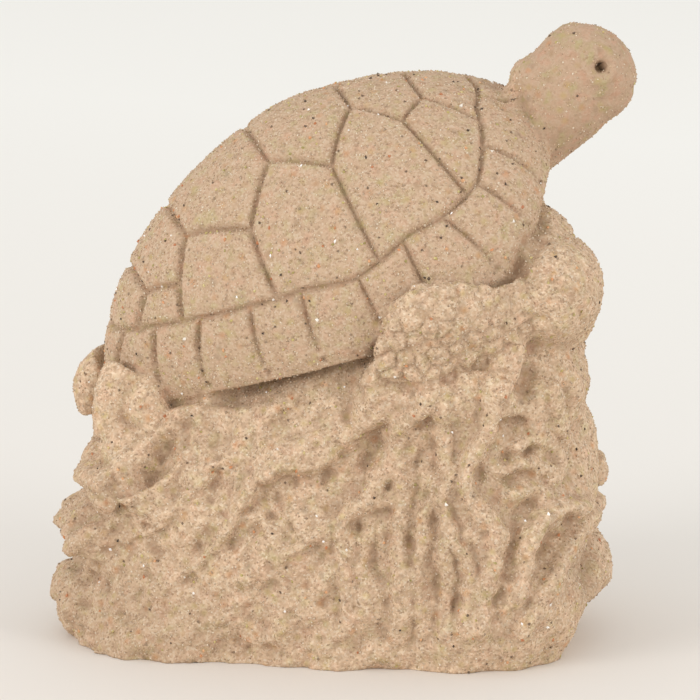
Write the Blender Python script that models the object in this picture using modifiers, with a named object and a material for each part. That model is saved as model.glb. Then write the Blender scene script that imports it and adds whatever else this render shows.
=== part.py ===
"""Sand turtle: a sea turtle hauled up on a coral rock, nose raised, as one casting of bonded sand.

The turtle faces +X, its right side faces -Y and +Z is up. The origin is the bottom centre of the
bounding box, on the flat underside. Everything is drawn in millimetres and turned to metres at the
end. The masses (shell, neck, flippers, rock) are fused into one skin, then the larger carving is
pressed into that skin by rules: shell seams, rock ledges, coral fronds, pits, eyes and mouth.
"""

import math

import bmesh
import bpy
import numpy as np
from mathutils import Matrix, Vector, noise
from mathutils.kdtree import KDTree

NAME = "sand_turtle"
MM = 0.001
VOXEL = 0.52
TRIANGLES = 9700
ORIGIN_SHIFT = (0.43, -0.51)

# Shell: half length, half width, dome height, and how it sits on the rock.
SHELL_HALF_LENGTH = 30.0
SHELL_HALF_WIDTH = 21.0
SHELL_DOME = 18.5
SHELL_FRONT_FLARE = 0.4
SHELL_DOME_POWER = 1.82
SHELL_SIDE_DROOP = 4.6
SHELL_SHOULDER_DROOP = 3.4
SHELL_UNDERSIDE = 3.0
RIM_THICKNESS = 1.5
BULGE_ANGLES = (0.0, 5.0, 11.0, 19.0, 28.0, 150.0, 166.0, 180.0)
BULGES = (0.015, 0.04, 0.03, 0.012, 0.0, 0.0, 0.028, 0.028)
CROWN_RISE = 0.6
SHELL_CENTRE = (-2.25, 0.0, 47.7)
SHELL_NOSE_UP = 32.8
SHELL_ROLL = 12.0
SHELL_TURN = 7.0

# Shell seams, on the unit disc of the shell: x from tail -1 to head +1, y from keel 0 to rim 1.
RING_ANGLES = (0.0, 16.0, 28.0, 44.0, 58.0, 69.0, 88.0, 100.0, 180.0)
RING_RADII = (0.88, 0.86, 0.885, 0.91, 0.895, 0.87, 0.9, 0.88, 0.88)
KEEL_NODES = ((0.67, 0.18), (0.41, 0.17), (0.01, 0.31), (-0.43, 0.33), (-0.69, 0.32))
COSTAL_NODES = ((0.55, 0.33), (0.21, 0.49), (-0.20, 0.57), (-0.56, 0.50))
COSTAL_FEET = (49.0, 80.0, 107.5, 136.0)
KEEL_FRONT_FOOT = 22.0
KEEL_REAR_FOOT = 155.0
MARGINAL_TOPS = (31.0, 44.0, 59.0, 71.5, 87.0, 101.0, 115.0, 130.0, 147.0, 163.0)
MARGINAL_FEET = (29.0, 43.0, 58.0, 76.0, 88.5, 104.0, 117.0, 133.0, 148.0, 168.0)
SEAM_DEPTH = 1.0
SEAM_WIDTH = 0.5

# Rock: sections from the ground up, each (height, tail end, head end, right side, left side).
ROCK_SECTIONS = (
    (-3.0, -33.8, 24.8, -17.4, 19.0),
    (0.0, -35.2, 26.6, -18.4, 20.0),
    (3.0, -35.8, 28.2, -18.8, 20.6),
    (7.0, -34.2, 30.0, -19.0, 21.0),
    (12.0, -31.7, 30.2, -18.8, 21.0),
    (18.0, -31.2, 30.5, -18.2, 20.4),
    (24.0, -29.0, 30.6, -17.0, 19.4),
    (30.0, -24.4, 29.8, -15.6, 18.0),
    (36.0, -17.0, 28.8, -14.8, 17.0),
    (42.0, -7.0, 27.6, -13.6, 15.6),
    (48.0, 3.0, 25.6, -10.6, 12.4),
)
ROCK_TAIL_POWER = 2.4
ROCK_HEAD_POWER = 3.8
STRATA_RISE = 38.0
STRATA_DIP = 0.2

# Plates of rock that stick out at the tail end, each an outline from the side as (x, z).
UPPER_PLATE = (
    (-18.0, 31.0), (-23.4, 26.2), (-26.8, 23.6), (-32.5, 21.5), (-32.2, 20.6), (-29.8, 21.0), (-27.4, 21.2),
    (-25.8, 22.6), (-22.6, 25.2), (-19.2, 28.4), (-14.0, 32.0),
)
LOWER_PLATE = (
    (-24.0, 20.2), (-30.2, 17.8), (-32.8, 16.4), (-35.0, 15.0), (-35.8, 13.8), (-34.6, 12.4), (-31.6, 12.0),
    (-26.6, 15.8), (-22.0, 18.4),
)

# Flipper outline from the side as (x, z): along its top from the shoulder, round the tip, back under.
FLIPPER = (
    (24.4, 54.2), (22.0, 52.0), (21.6, 49.2), (19.6, 47.8), (17.6, 47.3), (15.4, 47.2), (13.0, 47.6),
    (10.4, 47.5), (7.4, 46.7), (5.6, 44.4), (4.8, 41.6), (3.2, 38.6), (2.2, 35.4), (6.0, 35.6), (9.6, 35.0),
    (13.4, 36.4), (17.6, 38.2), (21.0, 39.4), (25.4, 38.6), (28.6, 38.4), (30.4, 41.6), (31.2, 45.8),
    (30.2, 48.8), (26.8, 51.4),
)

# Carving on the rock's right side, drawn as (x, z) paths. Fronds: half width, height, path.
RIGHT_FRONDS = (
    (1.4, 1.5, ((10.6, 34.8), (8.8, 31.7), (7.0, 29.4), (5.8, 27.0), (5.1, 24.7), (3.4, 21.6))),
    (1.1, 1.0, ((12.0, 34.0), (11.6, 29.0), (12.2, 25.0), (11.0, 21.6))),
    (1.3, 1.3, ((7.2, 24.2), (6.9, 21.4), (6.9, 18.1), (6.8, 14.7), (7.2, 9.0), (6.6, 4.6))),
    (1.0, 1.3, ((6.0, 21.0), (2.9, 20.3), (0.9, 19.5), (-0.1, 18.1), (0.1, 16.2), (0.6, 9.0), (0.4, 4.6))),
    (0.9, 0.7, ((3.0, 18.0), (2.2, 13.0), (2.8, 7.0))),
    (1.2, 1.5, ((17.8, 36.0), (17.5, 32.2), (17.2, 29.8), (16.1, 27.5), (14.8, 25.6), (14.6, 23.4),
                (15.7, 20.9))),
    (1.3, 1.8, ((15.7, 20.9), (17.1, 19.0), (17.8, 18.1), (18.3, 16.7), (18.0, 13.6), (16.7, 10.6),
                (16.4, 6.0))),
    (0.9, 1.1, ((11.2, 24.0), (11.6, 21.4), (11.8, 19.5), (13.4, 16.7), (14.8, 14.2), (14.9, 10.6),
                (14.8, 5.0))),
    (0.9, 0.9, ((9.6, 19.6), (9.3, 16.2), (9.3, 13.4), (8.9, 10.6), (9.6, 5.0))),
    (0.9, 0.8, ((12.0, 16.0), (12.4, 11.0), (12.0, 5.4))),
    (1.2, 2.0, ((28.0, 18.6), (25.8, 19.4), (23.8, 18.8), (22.4, 17.3), (21.7, 15.7), (21.6, 13.4),
                (20.6, 9.6))),
    (1.3, 1.4, ((29.8, 16.6), (27.9, 14.7), (25.5, 11.9), (23.4, 8.6), (21.6, 5.6))),
    (1.1, 1.2, ((25.2, 34.0), (26.0, 30.6), (26.6, 28.0), (26.4, 25.0), (25.6, 22.6))),
    (0.9, 0.8, ((20.4, 27.6), (23.4, 28.0), (25.4, 26.4))),
    (0.9, 0.9, ((19.0, 24.8), (22.4, 25.0), (25.2, 23.6))),
    (0.9, 0.9, ((19.2, 21.6), (22.6, 21.4), (25.6, 20.8))),
)
# Ledges: height, reach above the edge, path of the edge running towards the head.
RIGHT_LEDGES = (
    (2.2, 5.2, ((-27.2, 21.0), (-25.0, 21.9), (-22.4, 23.4), (-19.8, 25.6), (-17.2, 28.6), (-15.0, 31.6))),
    (1.3, 4.6, ((-20.6, 9.0), (-17.4, 12.4), (-14.0, 16.4), (-11.4, 20.8), (-8.6, 23.6), (-3.4, 24.2),
                (0.6, 27.0))),
    (1.2, 3.0, ((-28.0, 12.8), (-23.0, 15.4), (-18.5, 20.0), (-15.5, 23.0))),
    (1.2, 3.2, ((-14.6, 5.4), (-10.6, 9.6), (-7.0, 13.4), (-3.8, 16.4))),
    (0.7, 2.4, ((-9.0, 3.2), (-5.2, 6.4), (-2.0, 10.6))),
)
# Furrows and pits: half width, depth, path or centre.
RIGHT_FURROWS = (
    (2.3, 1.2, ((8.0, 34.0), (6.2, 32.0), (4.6, 29.6), (3.2, 27.0))),
    (0.7, 1.3, ((10.4, 28.6), (9.1, 25.9), (7.9, 24.2))),
    (0.6, 1.1, ((8.4, 23.4), (8.0, 19.0), (8.1, 16.2), (7.9, 13.0))),
    (0.45, 0.9, ((3.4, 17.6), (3.8, 15.7), (4.2, 11.9), (5.2, 9.1), (5.8, 7.2))),
    (0.8, 1.6, ((22.8, 20.4), (21.9, 20.0), (20.8, 18.3), (19.9, 16.5), (19.3, 14.0), (18.6, 11.2),
                (18.1, 8.3), (17.7, 4.6))),
    (0.7, 1.6, ((26.8, 17.3), (25.0, 16.2), (23.1, 14.0))),
    (0.9, 1.3, ((27.3, 33.2), (28.1, 30.4), (28.1, 26.6), (27.9, 22.8), (28.1, 20.4), (27.7, 17.6))),
    (0.4, 0.6, ((13.2, 14.4), (13.6, 11.0), (13.4, 8.0))),
    (0.5, 0.35, ((-26.2, 33.0), (-26.0, 31.6), (-26.2, 30.2), (-27.0, 28.8))),
    (0.8, 1.4, ((-29.0, 19.9), (-25.0, 21.0), (-21.8, 22.8), (-19.2, 25.0), (-16.8, 28.0))),
    (0.5, 0.8, ((16.2, 25.0), (16.0, 22.4))),
    (0.75, 1.9, ((18.6, 30.6), (19.8, 30.2), (21.0, 30.4))),
    (0.7, 1.7, ((20.0, 23.3), (21.2, 23.5), (22.6, 24.0))),
    (2.2, 2.0, ((30.6, 13.6), (28.4, 11.4), (27.3, 7.4))),
)
RIGHT_PITS = (
    (1.4, 1.5, (21.4, 33.8)), (1.2, 1.3, (22.2, 36.0)), (0.9, 1.6, (22.1, 26.5)), (0.8, 1.2, (19.3, 26.2)),
    (0.6, 1.0, (9.8, 21.6)), (0.6, 1.0, (10.9, 22.3)), (0.5, 0.8, (11.8, 23.6)),
    (0.9, 1.2, (-23.6, 16.7)), (1.0, 1.2, (-22.8, 13.2)), (0.9, 1.2, (-11.0, 17.0)),
    (0.7, 1.0, (-8.3, 18.3)),
    (0.7, 1.0, (-7.7, 20.4)), (0.7, 1.1, (-6.3, 16.0)), (0.8, 1.0, (-3.6, 17.8)), (0.8, 1.0, (-3.3, 15.0)),
    (1.1, 1.1, (-4.0, 23.2)), (1.1, 1.2, (-1.8, 23.8)), (1.0, 1.0, (-0.4, 26.4)), (0.8, 1.1, (2.2, 17.4)),
    (0.5, 1.0, (0.6, 13.6)), (1.0, 1.2, (-6.4, 6.7)), (0.7, 1.0, (-4.2, 10.3)), (0.6, 1.0, (-8.3, 12.4)),
    (0.6, 0.9, (-2.4, 8.3)), (0.6, 0.9, (-13.7, 15.0)), (0.6, 0.9, (-14.7, 25.6)),
    (0.8, 0.8, (-15.7, 20.6)),
    (0.7, 0.9, (-16.9, 14.2)), (0.5, 0.9, (-22.7, 3.4)), (0.6, 0.8, (0.9, 4.4)), (0.8, 0.9, (-19.0, 10.0)),
)
LEFT_FRONDS = (
    (1.8, 1.3, ((14.0, 34.0), (10.5, 26.0), (9.0, 16.0), (8.0, 4.0))),
    (1.7, 1.2, ((20.5, 35.0), (17.0, 25.0), (14.5, 15.0), (13.0, 4.0))),
    (1.5, 1.4, ((27.0, 25.0), (22.0, 18.0), (19.5, 10.0), (18.5, 4.0))),
)
LEFT_LEDGES = (
    (2.2, 4.6, ((-30.0, 18.0), (-24.0, 20.0), (-16.0, 27.0), (-11.0, 31.0))),
    (1.8, 4.4, ((-24.0, 6.0), (-16.0, 12.0), (-8.0, 20.0), (2.0, 25.0))),
    (1.2, 3.4, ((-12.0, 3.0), (-5.0, 9.0), (1.0, 15.0))),
)


def world_of_shell():
    """Turns the shell's own axes (length, width, height) into the casting's frame."""
    turn = Matrix.Rotation(math.radians(SHELL_TURN), 4, "Z")
    pitch = Matrix.Rotation(-math.radians(SHELL_NOSE_UP), 4, "Y")
    roll = Matrix.Rotation(math.radians(SHELL_ROLL), 4, "X")
    return Matrix.Translation(SHELL_CENTRE) @ turn @ pitch @ roll


def droop(x, y):
    """How far the rim's plane hangs down at the sides."""
    return (SHELL_SIDE_DROOP + SHELL_SHOULDER_DROOP * x) * y * y


def dome_height(x, y):
    radius = np.minimum(np.hypot(x, y), 1.0)
    crown = CROWN_RISE * np.exp(-(((x - 0.2) / 0.24) ** 2) - (y / 0.5) ** 2) * (1.0 - radius**2)
    return SHELL_DOME * (1.0 - radius**SHELL_DOME_POWER) ** (1.0 / SHELL_DOME_POWER) + crown


def rim_bulge(x, y):
    """How much further out the rim stands in front, beside the neck, and at the tail."""
    return np.interp(np.degrees(np.arctan2(np.abs(y), x)), BULGE_ANGLES, BULGES)


def shell_point(x, y, rise):
    """A point of the shell over the unit disc, at a height above the rim's plane."""
    wider = 1.0 + float(rim_bulge(x, y)) * (x * x + y * y) ** 3
    across = SHELL_HALF_WIDTH * y * wider * (1.0 + SHELL_FRONT_FLARE * x * wider)
    return Vector((SHELL_HALF_LENGTH * x * wider, across, rise - droop(x, y)))


def put(mesh_object, matrix):
    mesh_object.data.transform(matrix)
    mesh_object.matrix_world = Matrix.Identity(4)
    return mesh_object


def ball(centre, sizes, tilt=(0.0, 0.0, 0.0)):
    """A rounded mass: a sphere stretched to half sizes and tilted about X, Y, Z in degrees."""
    bpy.ops.mesh.primitive_uv_sphere_add(segments=40, ring_count=24, radius=1.0)
    turn = Matrix.Identity(4)
    for angle, axis in zip(tilt, "XYZ"):
        turn = Matrix.Rotation(math.radians(angle), 4, axis) @ turn
    stretch = Matrix.Diagonal((*sizes, 1.0))
    return put(bpy.context.object, Matrix.Translation(centre) @ turn @ stretch)


def limb(points, radii):
    """A round limb: a smooth curve through the points with a radius at each."""
    data = bpy.data.curves.new("limb", "CURVE")
    data.dimensions = "3D"
    data.bevel_depth = 1.0
    data.bevel_resolution = 6
    data.resolution_u = 10
    data.use_fill_caps = True
    spline = data.splines.new("NURBS")
    spline.points.add(len(points) - 1)
    spline.use_endpoint_u = True
    spline.order_u = 3
    for point, place, radius in zip(spline.points, points, radii):
        point.co = (*place, 1.0)
        point.radius = radius
    return made_mesh(data)


def slab(outline, front, back, edge):
    """A plate seen from the side, with rounded edges: outline in (x, z), between two depths."""
    data = bpy.data.curves.new("slab", "CURVE")
    data.dimensions = "2D"
    data.fill_mode = "BOTH"
    data.extrude = (back - front) / 2.0 - edge
    data.bevel_depth = edge
    data.bevel_resolution = 3
    data.offset = -edge
    data.resolution_u = 6
    spline = data.splines.new("BEZIER")
    spline.bezier_points.add(len(outline) - 1)
    spline.use_cyclic_u = True
    for point, (x, z) in zip(spline.bezier_points, outline):
        point.co = (x, z, 0.0)
        point.handle_left_type = "AUTO"
        point.handle_right_type = "AUTO"
    upright = Matrix.Rotation(math.radians(90.0), 4, "X")
    middle = Matrix.Translation((0.0, (front + back) / 2.0, 0.0))
    return put(made_mesh(data), middle @ upright)


def made_mesh(curve_data):
    """The curve as a closed mesh object, with its caps welded on."""
    curve = bpy.data.objects.new("curve", curve_data)
    bpy.context.scene.collection.objects.link(curve)
    depsgraph = bpy.context.evaluated_depsgraph_get()
    mesh = bpy.data.meshes.new_from_object(curve.evaluated_get(depsgraph))
    bpy.data.objects.remove(curve)
    solid = bmesh.new()
    solid.from_mesh(mesh)
    bmesh.ops.remove_doubles(solid, verts=solid.verts, dist=0.0001)
    bmesh.ops.recalc_face_normals(solid, faces=solid.faces)
    return linked(solid, mesh)


def linked(solid, mesh):
    solid.to_mesh(mesh)
    solid.free()
    result = bpy.data.objects.new("solid", mesh)
    bpy.context.scene.collection.objects.link(result)
    return result


def shell():
    """Domed shell with a thin rim, from a sphere whose lower half becomes the underside."""
    bpy.ops.mesh.primitive_uv_sphere_add(segments=144, ring_count=72, radius=1.0)
    dome = bpy.context.object
    for vertex in dome.data.vertices:
        x, y, z = vertex.co
        level = dome_height(x, y) / SHELL_DOME
        under = -RIM_THICKNESS - SHELL_UNDERSIDE * level
        vertex.co = shell_point(x, y, SHELL_DOME * level if z > -0.001 else under)
    return put(dome, world_of_shell())


def rock():
    """The rock: a loft of rounded sections, closed top and bottom."""
    around = 96
    mesh = bmesh.new()
    rings = []
    for height, tail, head, right, left in ROCK_SECTIONS:
        ring = []
        for step in range(around):
            angle = 2.0 * math.pi * step / around
            cos, sin = math.cos(angle), math.sin(angle)
            power = ROCK_HEAD_POWER if cos > 0.0 else ROCK_TAIL_POWER
            x = math.copysign(abs(cos) ** (2.0 / power), cos)
            y = math.copysign(abs(sin) ** (2.0 / power), sin)
            place = (
                (tail + head) / 2.0 + x * (head - tail) / 2.0,
                (right + left) / 2.0 + y * (left - right) / 2.0,
                height,
            )
            ring.append(mesh.verts.new(place))
        rings.append(ring)
    for lower, upper in zip(rings, rings[1:]):
        for step in range(around):
            after = (step + 1) % around
            mesh.faces.new((lower[step], lower[after], upper[after], upper[step]))
    mesh.faces.new(rings[-1])
    mesh.faces.new(reversed(rings[0]))
    return linked(mesh, bpy.data.meshes.new("rock"))


def flipper(side, shift, face):
    """Upper arm and flipper in one plate, laid against the rock and bent round the shoulder."""
    outline = [(x + shift[0], z + shift[1]) for x, z in FLIPPER]
    blade = reskin(slab(outline, -face, -face + 9.0, 1.0), 0.6, 2)
    points, _ = points_and_normals(blade.data)
    round_shoulder = 10.0 * np.clip((points[:, 0] - 9.0) / 22.0, 0.0, 1.0) ** 1.5
    tip = 0.9 * np.clip((8.0 - points[:, 0]) / 6.0, 0.0, 1.0)
    top = 6.0 * np.clip((points[:, 2] - 47.4) / 6.0, 0.0, 1.0)
    foot = 3.6 * np.clip((42.5 - points[:, 2]) / 6.5, 0.0, 1.0)
    points[:, 1] += round_shoulder + tip + top + foot
    set_points(blade.data, points)
    if side > 0.0:
        put(blade, Matrix.Diagonal((1.0, -1.0, 1.0, 1.0)))
        blade.data.flip_normals()
    return blade


def turtle_masses():
    """Shell, body under it, neck and head, flippers and tail."""
    under_shell = world_of_shell() @ Matrix.Translation((-1.0, 0.0, -5.5))
    body = ball((0.0, 0.0, 0.0), (27.0, 17.0, 8.0))
    masses = [shell(), put(body, under_shell)]
    neck = ((11.6, 0.5, 50.8), (17.8, 0.3, 58.8), (24.3, 0.0, 64.4), (26.8, 0.0, 67.4), (29.6, 0.0, 70.0))
    masses.append(put(limb(neck, (6.6, 5.4, 5.7, 6.6, 5.8)), Matrix.Diagonal((1.0, 0.9, 1.0, 1.0))))
    masses.append(ball((29.4, 0.0, 69.7), (6.5, 5.3, 6.0), (0.0, 35.0, 0.0)))
    masses.append(ball((27.9, 0.0, 72.9), (2.9, 3.4, 3.1)))
    masses.append(ball((23.4, 0.0, 68.6), (3.0, 4.4, 3.4), (0.0, -40.0, 0.0)))
    masses.append(ball((32.4, 0.0, 69.3), (3.2, 3.4, 3.6)))
    masses.append(ball((16.4, 0.0, 50.8), (8.8, 12.5, 8.8)))
    for side, back in ((-1.0, 0.0), (1.0, 1.0)):
        masses.append(ball((21.0 - back, side * 9.6, 48.4 - back), (6.4, 7.8, 8.4), (0.0, -32.0, 0.0)))
        masses.append(ball((24.6 - back, side * 12.4, 45.2), (6.2, 7.4, 6.6)))
    masses.append(flipper(-1.0, (0.0, 0.0), 23.2))
    masses.append(flipper(1.0, (-0.4, -2.6), 22.4))
    tail = ((-24.8, -0.6, 36.0), (-29.0, -1.0, 33.8), (-31.5, -1.4, 30.9), (-31.0, -1.6, 27.8))
    masses.append(limb(tail, (3.2, 3.0, 2.5, 1.4)))
    rear_flipper = ((-26.6, -8.0, 35.0), (-28.0, -8.8, 32.6), (-28.4, -9.2, 30.0), (-28.8, -9.0, 26.8))
    masses.append(limb(rear_flipper, (2.4, 2.1, 2.1, 1.6)))
    masses.append(ball((-24.0, -6.6, 30.6), (3.2, 5.4, 4.4)))
    masses.append(ball((-27.0, -8.6, 26.6), (2.4, 3.0, 2.4)))
    far_flipper = ((-21.6, 7.6, 33.6), (-25.4, 9.8, 31.4), (-28.2, 11.6, 27.8))
    masses.append(limb(far_flipper, (3.4, 3.0, 2.0)))
    return masses


def plate(outline, front, back):
    """A rock plate across the tail end, rounded in plan and dipping towards its far side."""
    layer = reskin(slab(outline, front, back, 1.0), 0.7, 2)
    points, _ = points_and_normals(layer.data)
    across = points[:, 1] - front
    points[:, 0] += 0.055 * np.clip(8.0 - across, 0.0, 9.0) ** 2
    points[:, 0] += 0.02 * np.clip(across - 9.0, 0.0, 20.0) ** 2
    points[:, 1] += 0.28 * np.clip(points[:, 0] + 28.0, 0.0, 20.0)
    points[:, 2] += STRATA_DIP * (across - 6.0)
    for point in points:
        place = Vector((point[0] / 12.0, point[1] / 4.5, point[2] / 9.0))
        point[0] += 1.3 * noise.noise(place)
        point[2] += 1.0 * noise.noise(place + Vector((5.0, 0.0, 0.0)))
    set_points(layer.data, points)
    return layer


def rock_masses():
    """The rock and the lumps that stand out of its outline."""
    masses = [rock()]
    masses.append(ball((14.0, -6.6, 20.0), (15.0, 13.2, 27.0)))
    masses.append(ball((15.0, -12.2, 33.0), (9.0, 7.4, 6.6)))
    masses.append(ball((6.5, -11.5, 32.0), (7.0, 7.0, 6.0)))
    masses.append(ball((22.0, -9.2, 32.6), (7.2, 8.6, 9.6)))
    masses.append(ball((14.0, 7.6, 17.0), (15.0, 13.2, 25.0)))
    under_blade = ((3.0, -16.6, 34.0), (9.0, -16.6, 33.4), (15.6, -15.6, 35.0), (21.0, -14.0, 38.4))
    masses.append(limb(under_blade, (2.0, 2.8, 3.0, 2.4)))
    masses.append(ball((-27.0, -7.0, 12.0), (5.6, 6.0, 5.6)))
    masses.append(ball((-22.0, -8.6, 19.0), (8.0, 6.4, 7.0)))
    masses.append(plate(UPPER_PLATE, -16.6, 4.0))
    masses.append(plate(LOWER_PLATE, -13.0, 2.0))
    masses.append(ball((-30.8, -1.0, 4.0), (5.2, 9.0, 6.4), (0.0, -10.0, -8.0)))
    masses.append(ball((31.9, 7.0, 18.6), (2.0, 3.8, 2.8), (0.0, 14.0, 0.0)))
    masses.append(ball((28.4, 0.0, 9.2), (3.6, 8.0, 5.0)))
    return masses


def fuse(objects, voxel, smoothing):
    """One skin over all the masses."""
    bpy.ops.object.select_all(action="DESELECT")
    for item in objects:
        item.select_set(True)
    bpy.context.view_layer.objects.active = objects[0]
    bpy.ops.object.join()
    return reskin(bpy.context.object, voxel, smoothing)


def reskin(skin, voxel, smoothing):
    remesh = skin.modifiers.new("remesh", "REMESH")
    remesh.mode = "VOXEL"
    remesh.voxel_size = voxel
    smooth = skin.modifiers.new("smooth", "SMOOTH")
    smooth.factor = 0.5
    smooth.iterations = smoothing
    return applied(skin)


def applied(skin):
    """The object with its modifiers worked into its mesh."""
    depsgraph = bpy.context.evaluated_depsgraph_get()
    mesh = bpy.data.meshes.new_from_object(skin.evaluated_get(depsgraph))
    skin.modifiers.clear()
    skin.data = mesh
    return skin


def points_and_normals(mesh):
    points = np.empty(len(mesh.vertices) * 3)
    normals = np.empty(len(mesh.vertices) * 3)
    mesh.vertices.foreach_get("co", points)
    mesh.vertices.foreach_get("normal", normals)
    return points.reshape(-1, 3), normals.reshape(-1, 3)


def set_points(mesh, points):
    mesh.vertices.foreach_set("co", points.ravel())
    mesh.update()


def press(skin, amount):
    """Moves every vertex along its normal by its own amount."""
    points, normals = points_and_normals(skin.data)
    set_points(skin.data, points + normals * amount[:, None])


def smoothstep(low, high, value):
    t = np.clip((value - low) / (high - low), 0.0, 1.0)
    return t * t * (3.0 - 2.0 * t)


def distance_to_path(flat, path):
    """Distance of each flat point to a broken line, positive on the line's left hand."""
    best = np.full(len(flat), 1e9)
    hand = np.ones(len(flat))
    corners = np.array(path, dtype=float)
    for start, end in zip(corners, corners[1:]):
        run = end - start
        away = flat - start
        t = np.clip((away @ run) / (run @ run), 0.0, 1.0)
        gap = np.linalg.norm(away - t[:, None] * run, axis=1)
        nearer = gap < best
        best[nearer] = gap[nearer]
        cross = run[0] * away[:, 1] - run[1] * away[:, 0]
        hand[nearer] = np.where(cross[nearer] >= 0.0, 1.0, -1.0)
    return best, hand


def side_carving(points, normals, side, round_tail, fronds, ledges, furrows=(), pits=()):
    """Height of the carving on one side of the rock, and round the tail end if it runs on there."""
    turned = side * normals[:, 1] + round_tail * np.clip(-normals[:, 0], 0.0, 1.0)
    turned += 0.5 * np.clip(normals[:, 0], 0.0, 1.0)
    facing = smoothstep(0.15, 0.6, turned)
    flat = points[:, (0, 2)]
    raised = np.zeros(len(points))
    for half_width, height, path in fronds:
        gap, _ = distance_to_path(flat, path)
        bead = np.sqrt(np.clip(1.0 - (gap / half_width) ** 2, 0.0, 1.0))
        raised = np.maximum(raised, 0.9 * height * bead)
    dipped = flat - np.array((0.0, STRATA_DIP)) * np.clip(points[:, 1:2] + 17.0, 0.0, 20.0)
    for height, reach, path in ledges:
        gap, hand = distance_to_path(dipped, path)
        above = np.clip(1.0 - gap / reach, 0.0, 1.0) ** 1.3
        below = np.exp(-((gap / 0.5) ** 2))
        raised += height * np.where(hand > 0.0, above, below)
    for half_width, depth, path in furrows:
        gap, _ = distance_to_path(flat, path)
        raised -= 0.7 * depth * np.exp(-((gap / half_width) ** 2))
    for half_width, depth, centre in pits:
        gap = np.linalg.norm(flat - np.array(centre), axis=1)
        raised -= depth * np.exp(-((gap / half_width) ** 2))
    return raised * facing * (0.7 + 0.3 * smoothstep(8.0, 18.0, points[:, 2]))


def rock_grain(points, size, height):
    """Uneven rock, drawn out along the slope of the strata."""
    rise = math.radians(STRATA_RISE)
    amount = np.empty(len(points))
    for index, (x, y, z) in enumerate(points):
        along = x * math.cos(rise) + z * math.sin(rise)
        across = z * math.cos(rise) - x * math.sin(rise)
        place = Vector((along * 0.45, y * 0.8, across)) / size
        amount[index] = noise.fractal(place, 0.9, 2.0, 3)
    return amount * height


def shell_place(points):
    """Each point on the unit disc of the shell, its height over the rim, and over the dome."""
    world = np.array(world_of_shell())
    local = (points - world[:3, 3]) @ world[:3, :3]
    x = local[:, 0] / SHELL_HALF_LENGTH
    y = local[:, 1] / (SHELL_HALF_WIDTH * (1.0 + SHELL_FRONT_FLARE * np.clip(x, -1.1, 1.1)))
    bulge = rim_bulge(x, y)
    squared = x * x + y * y
    wider = np.ones(len(points))
    for _ in range(6):
        wider = 1.0 + bulge * np.minimum(squared / (wider * wider), 1.2) ** 3
    x, y = x / wider, y / wider
    over_rim = local[:, 2] + droop(x, y)
    return x, y, over_rim, over_rim - dome_height(x, y)


def on_shell(points):
    """1 on the shell's outer face and its rim, 0 elsewhere."""
    x, y, over_rim, over_dome = shell_place(points)
    inside = 1.0 - smoothstep(1.0, 1.03, np.hypot(x, y))
    above = smoothstep(-RIM_THICKNESS - 0.4, -RIM_THICKNESS + 0.5, over_rim)
    return inside * above * (1.0 - smoothstep(0.8, 1.8, over_dome))


def off_rim(points):
    """Distance of each point outwards and down from the shell's rim, in millimetres."""
    x, y, over_rim, _ = shell_place(points)
    outwards = np.maximum(np.hypot(x, y) - 1.0, 0.0) * 25.0
    return np.hypot(outwards, np.maximum(-RIM_THICKNESS - over_rim, 0.0))


def rim_crevice(points):
    """The gap that parts the rim from the neck, the shoulders and the rock under it."""
    x, y, over_rim, _ = shell_place(points)
    angle = np.degrees(np.arctan2(np.abs(y), x))
    nodes = (0.0, 22.0, 34.0, 70.0, 85.0, 128.0, 136.0, 180.0)
    depth = np.interp(angle, nodes, (0.1, 0.1, 1.1, 1.3, 2.2, 2.2, 0.2, 0.2))
    depth *= 1.0 - smoothstep(0.4, 1.4, over_rim)
    return -depth * np.exp(-(((off_rim(points) - 0.7) / 0.9) ** 2))


def rock_only(points):
    """1 on the rock, 0 on the turtle, whose tail and rear flippers lie over the upper plate."""
    x, z = points[:, 0], points[:, 2]
    tail_skin = smoothstep(0.6, 1.8, z - 42.0 - 0.6 * x) * (1.0 - smoothstep(-24.0, -21.0, x))
    return (1.0 - smoothstep(36.0, 39.0, z)) * (1.0 - tail_skin) * (1.0 - on_shell(points))


def foot_turned(skin):
    """The near face of the rock's foot, turned towards the tail."""
    points, _ = points_and_normals(skin.data)
    turned = (1.0 - smoothstep(2.0, 26.0, points[:, 2])) * (1.0 - smoothstep(-6.0, 6.0, points[:, 1]))
    points[:, 1] -= 0.19 * np.maximum(points[:, 0] + 1.0, -8.0) * turned
    set_points(skin.data, points)
    return skin


def pressed_to_dome(skin):
    """Lowers what the neck and shoulders left above the shell onto the shell, but for the nape."""
    points, _ = points_and_normals(skin.data)
    x, y, _, over_dome = shell_place(points)
    nape = smoothstep(0.8, 0.92, x) * (1.0 - smoothstep(0.12, 0.3, np.abs(y)))
    buried = np.where(np.hypot(x, y) < 1.0, np.maximum(over_dome, 0.0) * (1.0 - nape), 0.0)
    points -= buried[:, None] * np.array(world_of_shell())[:3, 2]
    set_points(skin.data, points)
    return reskin(skin, VOXEL, 1)


def on_ring(degrees, radius=None):
    if radius is None:
        radius = float(np.interp(degrees, RING_ANGLES, RING_RADII))
    angle = math.radians(min(degrees, 180.0))
    return (radius * math.cos(angle), radius * math.sin(angle))


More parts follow.
